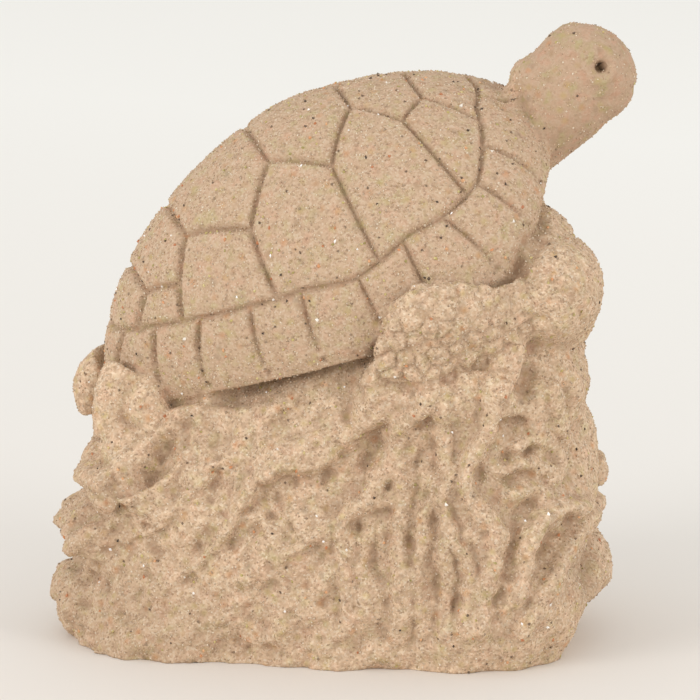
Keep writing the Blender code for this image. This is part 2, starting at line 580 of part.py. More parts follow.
def seam_paths():
    """Every seam of the shell as a path on the unit disc, for both sides."""
    zigzag = [on_ring(KEEL_FRONT_FOOT)]
    for index, node in enumerate(KEEL_NODES):
        zigzag.append(node)
        zigzag += COSTAL_NODES[index:index + 1]
    zigzag.append(on_ring(KEEL_REAR_FOOT))
    paths = [zigzag]
    for node, foot in zip(COSTAL_NODES, COSTAL_FEET):
        paths.append([node, on_ring(foot)])
    paths.append([on_ring(step) for step in range(0, 181, 4)])
    for top, foot in zip(MARGINAL_TOPS, MARGINAL_FEET):
        paths.append([on_ring(top), on_ring(foot, 1.0)])
    paths.append([on_ring(9.0), on_ring(9.0, 1.0)])
    paths += [[(x, -y) for x, y in path] for path in list(paths)]
    paths += [[(x, -y), (x, y)] for x, y in KEEL_NODES]
    return paths


def shell_carving(points):
    """Seams cut in, and each scute slightly crowned between them."""
    place = world_of_shell()
    marks = []
    for path in seam_paths():
        for (x0, y0), (x1, y1) in zip(path, path[1:]):
            steps = max(2, int(math.hypot(x1 - x0, y1 - y0) * SHELL_HALF_LENGTH / 0.25))
            for t in np.linspace(0.0, 1.0, steps):
                x, y = x0 + t * (x1 - x0), y0 + t * (y1 - y0)
                marks.append(place @ shell_point(x, y, float(dome_height(x, y))))
    tree = KDTree(len(marks))
    for index, mark in enumerate(marks):
        tree.insert(mark, index)
    tree.balance()
    amount = on_shell(points)
    x, y, over_rim, _ = shell_place(points)
    shallow = 0.4 * smoothstep(0.95, 1.0, np.hypot(x, y))
    deep = SEAM_DEPTH * (1.0 - shallow) * smoothstep(-1.0, -0.2, over_rim)
    for index in np.flatnonzero(amount > 0.0):
        gap = tree.find(points[index])[2]
        crown = 0.12 * min(1.0, gap / 3.0)
        amount[index] *= crown - deep[index] * math.exp(-((gap / SEAM_WIDTH) ** 2))
    return amount


def head_carving(points):
    """Sunken eyes in raised lids, and the line of the mouth."""
    amount = np.zeros(len(points))
    for side in (-1.0, 1.0):
        gap = np.linalg.norm(points - np.array((31.0, side * 4.8, 71.1)), axis=1)
        amount += 0.4 * np.exp(-(((gap - 1.75) / 0.7) ** 2))
        amount -= 1.2 * np.exp(-((gap / 0.75) ** 4))
    gap, _ = distance_to_path(points[:, (0, 2)], ((37.0, 68.9), (33.5, 67.2), (30.5, 67.0)))
    face = smoothstep(29.5, 31.5, points[:, 0])
    return amount - 0.2 * face * np.exp(-((gap / 0.6) ** 2))


def islands(solid):
    """The separate pieces of a mesh, each as a set of its vertices."""
    waiting = set(solid.verts)
    found = []
    while waiting:
        edge_of_search = [waiting.pop()]
        piece = set(edge_of_search)
        while edge_of_search:
            vertex = edge_of_search.pop()
            for edge in vertex.link_edges:
                other = edge.other_vert(vertex)
                if other in waiting:
                    waiting.discard(other)
                    piece.add(other)
                    edge_of_search.append(other)
        found.append(piece)
    return sorted(found, key=len, reverse=True)


def grounded(skin):
    """Cuts the skin off flat at the ground, closes it there and keeps only the one body."""
    solid = bmesh.new()
    solid.from_mesh(skin.data)
    everything = list(solid.verts) + list(solid.edges) + list(solid.faces)
    ground = {"plane_co": (0.0, 0.0, 0.0), "plane_no": (0.0, 0.0, 1.0)}
    bmesh.ops.bisect_plane(solid, geom=everything, dist=0.00001, clear_inner=True, **ground)
    bmesh.ops.holes_fill(solid, edges=[edge for edge in solid.edges if edge.is_boundary])
    bmesh.ops.triangulate(solid, faces=solid.faces)
    for crumb in islands(solid)[1:]:
        bmesh.ops.delete(solid, geom=list(crumb), context="VERTS")
    bmesh.ops.recalc_face_normals(solid, faces=solid.faces)
    solid.to_mesh(skin.data)
    solid.free()


def bonded_sand():
    material = bpy.data.materials.new("bonded_sand")
    material.use_nodes = True
    surface = material.node_tree.nodes["Principled BSDF"]
    surface.inputs["Base Color"].default_value = (0.56, 0.38, 0.24, 1.0)
    surface.inputs["Roughness"].default_value = 0.9
    surface.inputs["Metallic"].default_value = 0.0
    return material


def sand_turtle():
    skin = pressed_to_dome(foot_turned(fuse(turtle_masses() + rock_masses(), VOXEL, 2)))
    points, normals = points_and_normals(skin.data)
    right = (RIGHT_FRONDS, RIGHT_LEDGES, RIGHT_FURROWS, RIGHT_PITS)
    relief = side_carving(points, normals, -1.0, 0.8, *right)
    relief += side_carving(points, normals, 1.0, 0.0, LEFT_FRONDS, LEFT_LEDGES)
    relief = (relief + rock_grain(points, 6.0, 1.2)) * smoothstep(0.0, 2.5, off_rim(points))
    press(skin, relief * rock_only(points) + rim_crevice(points) * (1.0 - on_shell(points)))
    skin = reskin(skin, VOXEL, 1)
    points, _ = points_and_normals(skin.data)
    press(skin, shell_carving(points) + head_carving(points))
    thin = skin.modifiers.new("thin", "DECIMATE")
    thin.ratio = TRIANGLES / (2.0 * len(skin.data.polygons))
    applied(skin)
    grounded(skin)
    skin.data.transform(Matrix.Scale(MM, 4) @ Matrix.Translation((*ORIGIN_SHIFT, 0.0)))
    skin.data.materials.clear()
    skin.data.materials.append(bonded_sand())
    skin.data.shade_smooth()
    skin.name = NAME
    return skin


for old in list(bpy.data.objects):
    bpy.data.objects.remove(old)
collection = bpy.data.collections.new(NAME)
bpy.context.scene.collection.children.link(collection)
casting = sand_turtle()
for home in list(casting.users_collection):
    home.objects.unlink(casting)
collection.objects.link(casting)
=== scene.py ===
import math

import bmesh
import bpy
import numpy as np
from mathutils import Matrix, Vector, noise
from mathutils.kdtree import KDTree


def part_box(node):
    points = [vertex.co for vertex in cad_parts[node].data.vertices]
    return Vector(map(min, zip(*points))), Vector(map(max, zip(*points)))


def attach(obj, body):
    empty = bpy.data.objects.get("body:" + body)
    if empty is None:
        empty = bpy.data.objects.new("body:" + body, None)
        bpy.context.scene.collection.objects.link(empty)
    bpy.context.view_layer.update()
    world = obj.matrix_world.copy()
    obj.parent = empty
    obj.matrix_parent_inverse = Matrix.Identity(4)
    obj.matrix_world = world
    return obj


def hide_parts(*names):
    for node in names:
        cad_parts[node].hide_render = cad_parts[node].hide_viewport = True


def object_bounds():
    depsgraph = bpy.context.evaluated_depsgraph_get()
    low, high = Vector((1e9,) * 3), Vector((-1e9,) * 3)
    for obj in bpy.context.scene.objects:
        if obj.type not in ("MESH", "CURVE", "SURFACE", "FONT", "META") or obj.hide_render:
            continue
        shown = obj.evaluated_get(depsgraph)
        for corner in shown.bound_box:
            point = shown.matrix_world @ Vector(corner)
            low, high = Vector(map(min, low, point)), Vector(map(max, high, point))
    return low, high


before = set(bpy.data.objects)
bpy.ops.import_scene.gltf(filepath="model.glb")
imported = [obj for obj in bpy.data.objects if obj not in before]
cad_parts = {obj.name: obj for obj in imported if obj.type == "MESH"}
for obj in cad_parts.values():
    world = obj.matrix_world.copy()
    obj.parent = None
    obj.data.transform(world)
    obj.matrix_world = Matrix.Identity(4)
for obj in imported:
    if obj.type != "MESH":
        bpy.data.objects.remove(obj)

cad_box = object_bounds()

# --- Shell -----------------------------------------------------------------------------------
# The domed carapace of a sea turtle, part of the one sand casting. It is drawn over a unit disc
# (x from tail to head, y from keel to rim), in millimetres, then pitched, rolled and turned.
SHELL_HALF_LENGTH = 30.0
SHELL_HALF_WIDTH = 21.0
SHELL_DOME = 18.5
SHELL_FRONT_FLARE = 0.4
SHELL_DOME_POWER = 1.82
SHELL_SIDE_DROOP = 4.6
SHELL_SHOULDER_DROOP = 3.4
SHELL_UNDERSIDE = 3.0
RIM_THICKNESS = 1.5
BULGE_ANGLES = (0.0, 5.0, 11.0, 19.0, 28.0, 150.0, 166.0, 180.0)
BULGES = (0.015, 0.04, 0.03, 0.012, 0.0, 0.0, 0.028, 0.028)
CROWN_RISE = 0.6


def tilted(place, turn=0.0, nose_up=0.0, roll=0.0):
    """A place in the casting, turned about Z, pitched nose up and rolled, in degrees."""
    return (
        Matrix.Translation(place)
        @ Matrix.Rotation(math.radians(turn), 4, "Z")
        @ Matrix.Rotation(-math.radians(nose_up), 4, "Y")
        @ Matrix.Rotation(math.radians(roll), 4, "X")
    )


shell_frame = tilted((-2.25, 0.0, 47.7), turn=7.0, nose_up=32.8, roll=12.0)


def droop(x, y):
    """How far the rim's plane hangs down at the sides."""
    return (SHELL_SIDE_DROOP + SHELL_SHOULDER_DROOP * x) * y * y


def dome_height(x, y):
    """Height of the dome over the rim's plane, with a low crown ahead of its middle."""
    radius = np.minimum(np.hypot(x, y), 1.0)
    crown = CROWN_RISE * np.exp(-(((x - 0.2) / 0.24) ** 2) - (y / 0.5) ** 2) * (1.0 - radius**2)
    return SHELL_DOME * (1.0 - radius**SHELL_DOME_POWER) ** (1.0 / SHELL_DOME_POWER) + crown


def rim_bulge(x, y):
    """How much further out the rim stands in front, beside the neck, and at the tail."""
    return np.interp(np.degrees(np.arctan2(np.abs(y), x)), BULGE_ANGLES, BULGES)


def shell_point(x, y, rise):
    """A place on the disc, at a rise over the rim, as a place in the shell's frame."""
    wider = 1.0 + float(rim_bulge(x, y)) * (x * x + y * y) ** 3
    across = SHELL_HALF_WIDTH * y * wider * (1.0 + SHELL_FRONT_FLARE * x * wider)
    return Vector((SHELL_HALF_LENGTH * x * wider, across, rise - droop(x, y)))


def put(piece, matrix):
    """Works a place into a mesh, so that its object stays at the origin."""
    piece.data.transform(matrix)
    piece.matrix_world = Matrix.Identity(4)
    return piece


bpy.ops.mesh.primitive_uv_sphere_add(segments=192, ring_count=96, radius=1.0)
dome = bpy.context.object
for vertex in dome.data.vertices:
    x, y, z = vertex.co
    level = dome_height(x, y) / SHELL_DOME
    under = -RIM_THICKNESS - SHELL_UNDERSIDE * level
    vertex.co = shell_point(x, y, SHELL_DOME * level if z > -0.001 else under)
masses = [put(dome, shell_frame)]


def ball(centre, sizes, tilt=(0.0, 0.0, 0.0)):
    """A rounded mass: a sphere stretched to half sizes and tilted about X, Y, Z in degrees."""
    bpy.ops.mesh.primitive_uv_sphere_add(segments=48, ring_count=28, radius=1.0)
    turn = Matrix.Identity(4)
    for angle, axis in zip(tilt, "XYZ"):
        turn = Matrix.Rotation(math.radians(angle), 4, axis) @ turn
    stretch = Matrix.Diagonal((*sizes, 1.0))
    return put(bpy.context.object, Matrix.Translation(centre) @ turn @ stretch)


# The belly fills the shell from below.
belly = ball((0.0, 0.0, 0.0), (27.0, 17.0, 8.0))
masses.append(put(belly, shell_frame @ Matrix.Translation((-1.0, 0.0, -5.5))))

# --- Neck and head ---------------------------------------------------------------------------
# The raised head and thick neck, smooth in the casting, with a brow and a blunt beak.


def plain_mesh(curve):
    """A curve object as a closed mesh object, with its caps welded on."""
    bpy.context.scene.collection.objects.link(curve)
    depsgraph = bpy.context.evaluated_depsgraph_get()
    mesh = bpy.data.meshes.new_from_object(curve.evaluated_get(depsgraph))
    bpy.data.objects.remove(curve)
    solid = bmesh.new()
    solid.from_mesh(mesh)
    bmesh.ops.remove_doubles(solid, verts=solid.verts, dist=0.0001)
    bmesh.ops.recalc_face_normals(solid, faces=solid.faces)
    return linked(solid, mesh)


def linked(solid, mesh):
    """Writes the worked shape into its mesh and puts that into the scene."""
    solid.to_mesh(mesh)
    solid.free()
    piece = bpy.data.objects.new("mass", mesh)
    bpy.context.scene.collection.objects.link(piece)
    return piece


def limb(places, radii):
    """A round limb: a smooth curve through the places with a radius at each."""
    data = bpy.data.curves.new("limb", "CURVE")
    data.dimensions = "3D"
    data.bevel_depth = 1.0
    data.bevel_resolution = 8
    data.resolution_u = 12
    data.use_fill_caps = True
    spline = data.splines.new("NURBS")
    spline.points.add(len(places) - 1)
    spline.use_endpoint_u = True
    spline.order_u = 3
    for point, place, radius in zip(spline.points, places, radii):
        point.co = (*place, 1.0)
        point.radius = radius
    return plain_mesh(bpy.data.objects.new("limb", data))


neck = ((11.6, 0.5, 50.8), (17.8, 0.3, 58.8), (24.3, 0.0, 64.4), (26.8, 0.0, 67.4), (29.6, 0.0, 70.0))
masses += [
    put(limb(neck, (6.6, 5.4, 5.7, 6.6, 5.8)), Matrix.Diagonal((1.0, 0.9, 1.0, 1.0))),
    ball((29.4, 0.0, 69.7), (6.5, 5.3, 6.0), (0.0, 35.0, 0.0)),  # skull
    ball((27.9, 0.0, 72.9), (2.9, 3.4, 3.1)),  # brow
    ball((23.4, 0.0, 68.6), (3.0, 4.4, 3.4), (0.0, -40.0, 0.0)),  # nape
    ball((32.4, 0.0, 69.3), (3.2, 3.4, 3.6)),  # beak
]

# --- Shoulders and front flippers ------------------------------------------------------------
# Each front flipper is a broad blade that lies on the rock and bends round the shoulder.
FLIPPER = (
    (24.4, 54.2), (22.0, 52.0), (21.6, 49.2), (19.6, 47.8), (17.6, 47.3), (15.4, 47.2), (13.0, 47.6),
    (10.4, 47.5), (7.4, 46.7), (5.6, 44.4), (4.8, 41.6), (3.2, 38.6), (2.2, 35.4), (6.0, 35.6), (9.6, 35.0),
    (13.4, 36.4), (17.6, 38.2), (21.0, 39.4), (25.4, 38.6), (28.6, 38.4), (30.4, 41.6), (31.2, 45.8),
    (30.2, 48.8), (26.8, 51.4),
)
FLIPPER_THICKNESS = 9.0


def slab(outline, front, back, edge):
    """A plate seen from the side, with rounded edges: outline in (x, z), between two depths."""
    data = bpy.data.curves.new("slab", "CURVE")
    data.dimensions = "2D"
    data.fill_mode = "BOTH"
    data.extrude = (back - front) / 2.0 - edge
    data.bevel_depth = edge
    data.bevel_resolution = 4
    data.offset = -edge
    data.resolution_u = 8
    spline = data.splines.new("BEZIER")
    spline.bezier_points.add(len(outline) - 1)
    spline.use_cyclic_u = True
    for point, (x, z) in zip(spline.bezier_points, outline):
        point.co = (x, z, 0.0)
        point.handle_left_type = "AUTO"
        point.handle_right_type = "AUTO"
    upright = Matrix.Rotation(math.radians(90.0), 4, "X")
    middle = Matrix.Translation((0.0, (front + back) / 2.0, 0.0))
    return put(plain_mesh(bpy.data.objects.new("slab", data)), middle @ upright)


def reskin(skin, voxel, smoothing):
    """One even skin over everything the object holds, smoothed a little."""
    remesh = skin.modifiers.new("remesh", "REMESH")
    remesh.mode = "VOXEL"
    remesh.voxel_size = voxel
    smooth = skin.modifiers.new("smooth", "SMOOTH")
    smooth.factor = 0.5
    smooth.iterations = smoothing
    return applied(skin)


def applied(skin):
    """The object with its modifiers worked into its mesh."""
    depsgraph = bpy.context.evaluated_depsgraph_get()
    mesh = bpy.data.meshes.new_from_object(skin.evaluated_get(depsgraph))
    skin.modifiers.clear()
    skin.data = mesh
    return skin


def points_and_normals(mesh):
    """The points of the mesh and their normals, one row each."""
    points = np.empty(len(mesh.vertices) * 3)
    normals = np.empty(len(mesh.vertices) * 3)
    mesh.vertices.foreach_get("co", points)
    mesh.vertices.foreach_get("normal", normals)
    return points.reshape(-1, 3), normals.reshape(-1, 3)


def set_points(mesh, points):
    mesh.vertices.foreach_set("co", points.ravel())
    mesh.update()


def flipper(side, shift, face):
    """A front flipper whose outer face bends in at the shoulder, the tip and both edges."""
    outline = [(x + shift[0], z + shift[1]) for x, z in FLIPPER]
    blade = slab(outline, -face, -face + FLIPPER_THICKNESS, 0.9)
    blade = reskin(blade, 0.4, 2)
    points, _ = points_and_normals(blade.data)
    round_shoulder = 10.0 * np.clip((points[:, 0] - 9.0) / 22.0, 0.0, 1.0) ** 1.5
    tip = 0.9 * np.clip((8.0 - points[:, 0]) / 6.0, 0.0, 1.0)
    top = 6.0 * np.clip((points[:, 2] - 47.4) / 6.0, 0.0, 1.0)
    foot = 3.6 * np.clip((42.5 - points[:, 2]) / 6.5, 0.0, 1.0)
    points[:, 1] += round_shoulder + tip + top + foot
    set_points(blade.data, points)
    if side > 0.0:
        put(blade, Matrix.Diagonal((1.0, -1.0, 1.0, 1.0)))
        blade.data.flip_normals()
    return blade


# The chest, then a shoulder and an elbow on each side, then the blades.
masses.append(ball((16.4, 0.0, 50.8), (8.8, 12.5, 8.8)))
for side, back in ((-1.0, 0.0), (1.0, 1.0)):
    masses += [
        ball((21.0 - back, side * 9.6, 48.4 - back), (6.4, 7.8, 8.4), (0.0, -32.0, 0.0)),
        ball((24.6 - back, side * 12.4, 45.2), (6.2, 7.4, 6.6)),
    ]
masses += [flipper(-1.0, (0.0, 0.0), 23.2), flipper(1.0, (-0.4, -2.6), 22.4)]

# --- Tail and rear flippers ------------------------------------------------------------------
# A stub of tail and two rear flippers, tucked under the back of the rim.
tail = ((-24.8, -0.6, 36.0), (-29.0, -1.0, 33.8), (-31.5, -1.4, 30.9), (-31.0, -1.6, 27.8))
near_flipper = ((-26.6, -8.0, 35.0), (-28.0, -8.8, 32.6), (-28.4, -9.2, 30.0), (-28.8, -9.0, 26.8))
far_flipper = ((-21.6, 7.6, 33.6), (-25.4, 9.8, 31.4), (-28.2, 11.6, 27.8))
masses += [
    limb(tail, (3.2, 3.0, 2.5, 1.4)),
    limb(near_flipper, (2.4, 2.1, 2.1, 1.6)),
    ball((-24.0, -6.6, 30.6), (3.2, 5.4, 4.4)),
    ball((-27.0, -8.6, 26.6), (2.4, 3.0, 2.4)),
    limb(far_flipper, (3.4, 3.0, 2.0)),
]

# --- Rock ------------------------------------------------------------------------------------
# The coral rock under the turtle, cast with it: a rounded block with plates at its tail end.
# Sections from the ground up, each (height, tail end, head end, right side, left side).
ROCK_SECTIONS = (
    (-3.0, -33.8, 24.8, -17.4, 19.0),
    (0.0, -35.2, 26.6, -18.4, 20.0),
    (3.0, -35.8, 28.2, -18.8, 20.6),
    (7.0, -34.2, 30.0, -19.0, 21.0),
    (12.0, -31.7, 30.2, -18.8, 21.0),
    (18.0, -31.2, 30.5, -18.2, 20.4),
    (24.0, -29.0, 30.6, -17.0, 19.4),
    (30.0, -24.4, 29.8, -15.6, 18.0),
    (36.0, -17.0, 28.8, -14.8, 17.0),
    (42.0, -7.0, 27.6, -13.6, 15.6),
    (48.0, 3.0, 25.6, -10.6, 12.4),
)
ROCK_TAIL_POWER = 2.4
ROCK_HEAD_POWER = 3.8
STRATA_RISE = 38.0
STRATA_DIP = 0.2
RING_STEPS = 128
UPPER_PLATE = (
    (-18.0, 31.0), (-23.4, 26.2), (-26.8, 23.6), (-32.5, 21.5), (-32.2, 20.6), (-29.8, 21.0), (-27.4, 21.2),
    (-25.8, 22.6), (-22.6, 25.2), (-19.2, 28.4), (-14.0, 32.0),
)
LOWER_PLATE = (
    (-24.0, 20.2), (-30.2, 17.8), (-32.8, 16.4), (-35.0, 15.0), (-35.8, 13.8), (-34.6, 12.4), (-31.6, 12.0),
    (-26.6, 15.8), (-22.0, 18.4),
)

block = bmesh.new()
rings = []
for height, rear, front, right, left in ROCK_SECTIONS:
    middle = Vector(((rear + front) / 2.0, (right + left) / 2.0, height))
    ring = []
    for step in range(RING_STEPS):
        angle = 2.0 * math.pi * step / RING_STEPS
        cos, sin = math.cos(angle), math.sin(angle)
        power = ROCK_HEAD_POWER if cos > 0.0 else ROCK_TAIL_POWER
        x = math.copysign(abs(cos) ** (2.0 / power), cos)
        y = math.copysign(abs(sin) ** (2.0 / power), sin)
        out = Vector((x * (front - rear) / 2.0, y * (left - right) / 2.0, 0.0))
        ring.append(block.verts.new(middle + out))
    rings.append(ring)
for lower, upper in zip(rings, rings[1:]):
    for step in range(RING_STEPS):
        after = (step + 1) % RING_STEPS
        block.faces.new((lower[step], lower[after], upper[after], upper[step]))
block.faces.new(rings[-1])
block.faces.new(reversed(rings[0]))
masses.append(linked(block, bpy.data.meshes.new("block")))


def plate(outline, front, back):
    """A rock plate across the tail end, rounded in plan and dipping towards its far side."""
    layer = reskin(slab(outline, front, back, 1.0), 0.5, 2)
    points, _ = points_and_normals(layer.data)
    across = points[:, 1] - front
    points[:, 0] += 0.055 * np.clip(8.0 - across, 0.0, 9.0) ** 2
    points[:, 0] += 0.02 * np.clip(across - 9.0, 0.0, 20.0) ** 2
    points[:, 1] += 0.28 * np.clip(points[:, 0] + 28.0, 0.0, 20.0)
    points[:, 2] += STRATA_DIP * (across - 6.0)
    for point in points:
        place = Vector((point[0] / 12.0, point[1] / 4.5, point[2] / 9.0))
        point[0] += 1.3 * noise.noise(place)
        point[2] += 1.0 * noise.noise(place + Vector((5.0, 0.0, 0.0)))
    set_points(layer.data, points)
    return layer


under_blade = ((3.0, -16.6, 34.0), (9.0, -16.6, 33.4), (15.6, -15.6, 35.0), (21.0, -14.0, 38.4))
masses += [
    # Shoulders of rock under the flippers and the chest.
    ball((14.0, -6.6, 20.0), (15.0, 13.2, 27.0)),
    ball((15.0, -12.2, 33.0), (9.0, 7.4, 6.6)),
    ball((6.5, -11.5, 32.0), (7.0, 7.0, 6.0)),
    ball((22.0, -9.2, 32.6), (7.2, 8.6, 9.6)),
    ball((14.0, 7.6, 17.0), (15.0, 13.2, 25.0)),
    limb(under_blade, (2.0, 2.8, 3.0, 2.4)),
    ball((19.2, -15.8, 37.4), (3.2, 3.4, 2.8)),
    # The tail end, with its two plates and the lumps behind them.
    ball((-27.0, -7.0, 12.0), (5.6, 6.0, 5.6)),
    ball((-22.0, -8.6, 19.0), (8.0, 6.4, 7.0)),
    plate(UPPER_PLATE, -16.6, 4.0),
    plate(LOWER_PLATE, -13.0, 2.0),
    ball((-30.8, -1.0, 4.0), (5.2, 9.0, 6.4), (0.0, -10.0, -8.0)),
    # The knob and the swelling on the head end.
    ball((31.9, 7.0, 18.6), (2.0, 3.8, 2.8), (0.0, 14.0, 0.0)),
    ball((28.4, 0.0, 9.2), (3.6, 8.0, 5.0)),
]

# --- Casting ---------------------------------------------------------------------------------
# Turtle and rock come out of the mould as one lump of sand and resin. The masses are fused into
# one skin, and the relief of the mould is pressed into it along its normals.
CASTING_TRIANGLES = 195000
DEEP_HOLLOW = 0.35  # millimetres
MILLIMETRE = 0.001  # metres
# A fixed seed, so that the sand breaks away in the same places each time.
noise.seed_set(1)


def fuse(pieces, voxel, smoothing):
    """Joins the pieces and covers them with one even skin."""
    bpy.ops.object.select_all(action="DESELECT")
    for piece in pieces:
        piece.select_set(True)
    bpy.context.view_layer.objects.active = pieces[0]
    bpy.ops.object.join()
    return reskin(bpy.context.object, voxel, smoothing)


def press(skin, amount):
    """Moves every point of the skin along its normal by its own amount."""
    points, normals = points_and_normals(skin.data)
    set_points(skin.data, points + normals * amount[:, None])


def smoothstep(low, high, value):
    """0 before low and 1 beyond high, easing in between."""
    t = np.clip((value - low) / (high - low), 0.0, 1.0)
    return t * t * (3.0 - 2.0 * t)


def roughness(points, size, octaves, along=1.0, seed=0.0):
    """Uneven sand, drawn out along the slope of the rock's strata."""
    rise = math.radians(STRATA_RISE)
    run = (points[:, 0] * math.cos(rise) + points[:, 2] * math.sin(rise)) * along / size + seed
    over = (points[:, 2] * math.cos(rise) - points[:, 0] * math.sin(rise)) / size
    places = np.stack((run, points[:, 1] * 0.8 / size, over), axis=1)
    return np.array([noise.fractal(place, 0.9, 2.0, octaves) for place in places.tolist()])


casting = fuse(masses, 0.36, 3)

# The near face of the foot is turned towards the tail.
points, _ = points_and_normals(casting.data)
turned = (1.0 - smoothstep(2.0, 26.0, points[:, 2])) * (1.0 - smoothstep(-6.0, 6.0, points[:, 1]))
points[:, 1] -= 0.19 * np.maximum(points[:, 0] + 1.0, -8.0) * turned
set_points(casting.data, points)

# Carving of the rock, drawn from its right side as (x, z) paths.
# Fronds of coral: half width, height, path.
RIGHT_FRONDS = (
    (1.4, 1.5, ((10.6, 34.8), (8.8, 31.7), (7.0, 29.4), (5.8, 27.0), (5.1, 24.7), (3.4, 21.6))),
    (1.1, 1.0, ((12.0, 34.0), (11.6, 29.0), (12.2, 25.0), (11.0, 21.6))),
    (1.3, 1.3, ((7.2, 24.2), (6.9, 21.4), (6.9, 18.1), (6.8, 14.7), (7.2, 9.0), (6.6, 4.6))),
    (1.0, 1.3, ((6.0, 21.0), (2.9, 20.3), (0.9, 19.5), (-0.1, 18.1), (0.1, 16.2), (0.6, 9.0), (0.4, 4.6))),
    (0.9, 0.7, ((3.0, 18.0), (2.2, 13.0), (2.8, 7.0))),
    (1.2, 1.5, ((17.8, 36.0), (17.5, 32.2), (17.2, 29.8), (16.1, 27.5), (14.8, 25.6), (14.6, 23.4),
                (15.7, 20.9))),
    (1.3, 1.8, ((15.7, 20.9), (17.1, 19.0), (17.8, 18.1), (18.3, 16.7), (18.0, 13.6), (16.7, 10.6),
                (16.4, 6.0))),
    (0.9, 1.1, ((11.2, 24.0), (11.6, 21.4), (11.8, 19.5), (13.4, 16.7), (14.8, 14.2), (14.9, 10.6),
                (14.8, 5.0))),
    (0.9, 0.9, ((9.6, 19.6), (9.3, 16.2), (9.3, 13.4), (8.9, 10.6), (9.6, 5.0))),
    (0.9, 0.8, ((12.0, 16.0), (12.4, 11.0), (12.0, 5.4))),
    (1.2, 2.0, ((28.0, 18.6), (25.8, 19.4), (23.8, 18.8), (22.4, 17.3), (21.7, 15.7), (21.6, 13.4),
                (20.6, 9.6))),
    (1.3, 1.4, ((29.8, 16.6), (27.9, 14.7), (25.5, 11.9), (23.4, 8.6), (21.6, 5.6))),
    (1.1, 1.2, ((25.2, 34.0), (26.0, 30.6), (26.6, 28.0), (26.4, 25.0), (25.6, 22.6))),
    (0.9, 0.8, ((20.4, 27.6), (23.4, 28.0), (25.4, 26.4))),
    (0.9, 0.9, ((19.0, 24.8), (22.4, 25.0), (25.2, 23.6))),
    (0.9, 0.9, ((19.2, 21.6), (22.6, 21.4), (25.6, 20.8))),
)
# Ledges: height, reach above the edge, path of the edge running towards the head.
RIGHT_LEDGES = (
    (2.2, 5.2, ((-27.2, 21.6), (-25.0, 22.6), (-22.4, 24.4), (-19.8, 26.8), (-17.2, 29.6), (-15.0, 32.2))),
    (1.7, 4.6, ((-20.6, 9.0), (-17.4, 12.4), (-14.0, 16.4), (-11.4, 20.8), (-8.6, 23.6), (-3.4, 24.2),
                (0.6, 27.0))),
    (1.2, 3.0, ((-28.0, 12.8), (-23.0, 15.4), (-18.5, 20.0), (-15.5, 23.0))),
    (1.2, 3.2, ((-14.6, 5.4), (-10.6, 9.6), (-7.0, 13.4), (-3.8, 16.4))),
    (0.7, 2.4, ((-9.0, 3.2), (-5.2, 6.4), (-2.0, 10.6))),
)
UNDER_PLATE = ((-31.4, 20.4), (-28.2, 20.4), (-25.9, 21.5), (-22.9, 23.5), (-20.8, 25.3), (-18.0, 28.2))
# Furrows and pits: half width, depth, path or centre.
RIGHT_FURROWS = (
    (2.3, 1.2, ((8.0, 34.0), (6.2, 32.0), (4.6, 29.6), (3.2, 27.0))),
    (0.7, 1.3, ((10.4, 28.6), (9.1, 25.9), (7.9, 24.2))),
    (0.6, 1.1, ((8.4, 23.4), (8.0, 19.0), (8.1, 16.2), (7.9, 13.0))),
    (0.45, 0.9, ((3.4, 17.6), (3.8, 15.7), (4.2, 11.9), (5.2, 9.1), (5.8, 7.2))),
    (0.8, 1.4, ((22.8, 20.4), (21.9, 20.0), (20.8, 18.3), (19.9, 16.5), (19.3, 14.0), (18.6, 11.2),
                (18.0, 7.0))),
    (0.5, 1.0, ((10.6, 28.0), (11.2, 23.5), (11.2, 19.0), (11.0, 14.9), (11.1, 9.0))),
    (0.5, 0.9, ((13.2, 20.0), (14.0, 17.8), (15.4, 14.9), (15.9, 13.0))),
    (0.45, 0.8, ((14.2, 12.4), (13.9, 10.0), (13.4, 7.0))),
    (0.4, 0.6, ((16.0, 11.0), (15.8, 9.0), (15.8, 6.4))),
    (0.7, 1.6, ((26.8, 17.3), (25.0, 16.2), (23.1, 14.0))),
    (0.9, 1.3, ((27.3, 33.2), (28.1, 30.4), (28.1, 26.6), (27.9, 22.8), (28.1, 20.4), (27.7, 17.6))),
    (0.4, 0.6, ((13.2, 14.4), (13.6, 11.0), (13.4, 8.0))),
    (0.5, 0.35, ((-26.2, 33.0), (-26.0, 31.6), (-26.2, 30.2), (-27.0, 28.8))),
    (0.9, 1.7, UNDER_PLATE),
    (0.5, 0.8, ((16.2, 25.0), (16.0, 22.4))),
    (0.75, 1.9, ((18.6, 30.6), (19.8, 30.2), (21.0, 30.4))),
    (0.7, 1.7, ((20.0, 23.3), (21.2, 23.5), (22.6, 24.0))),
    (2.2, 2.0, ((30.6, 13.6), (28.4, 11.4), (27.3, 7.4))),
)
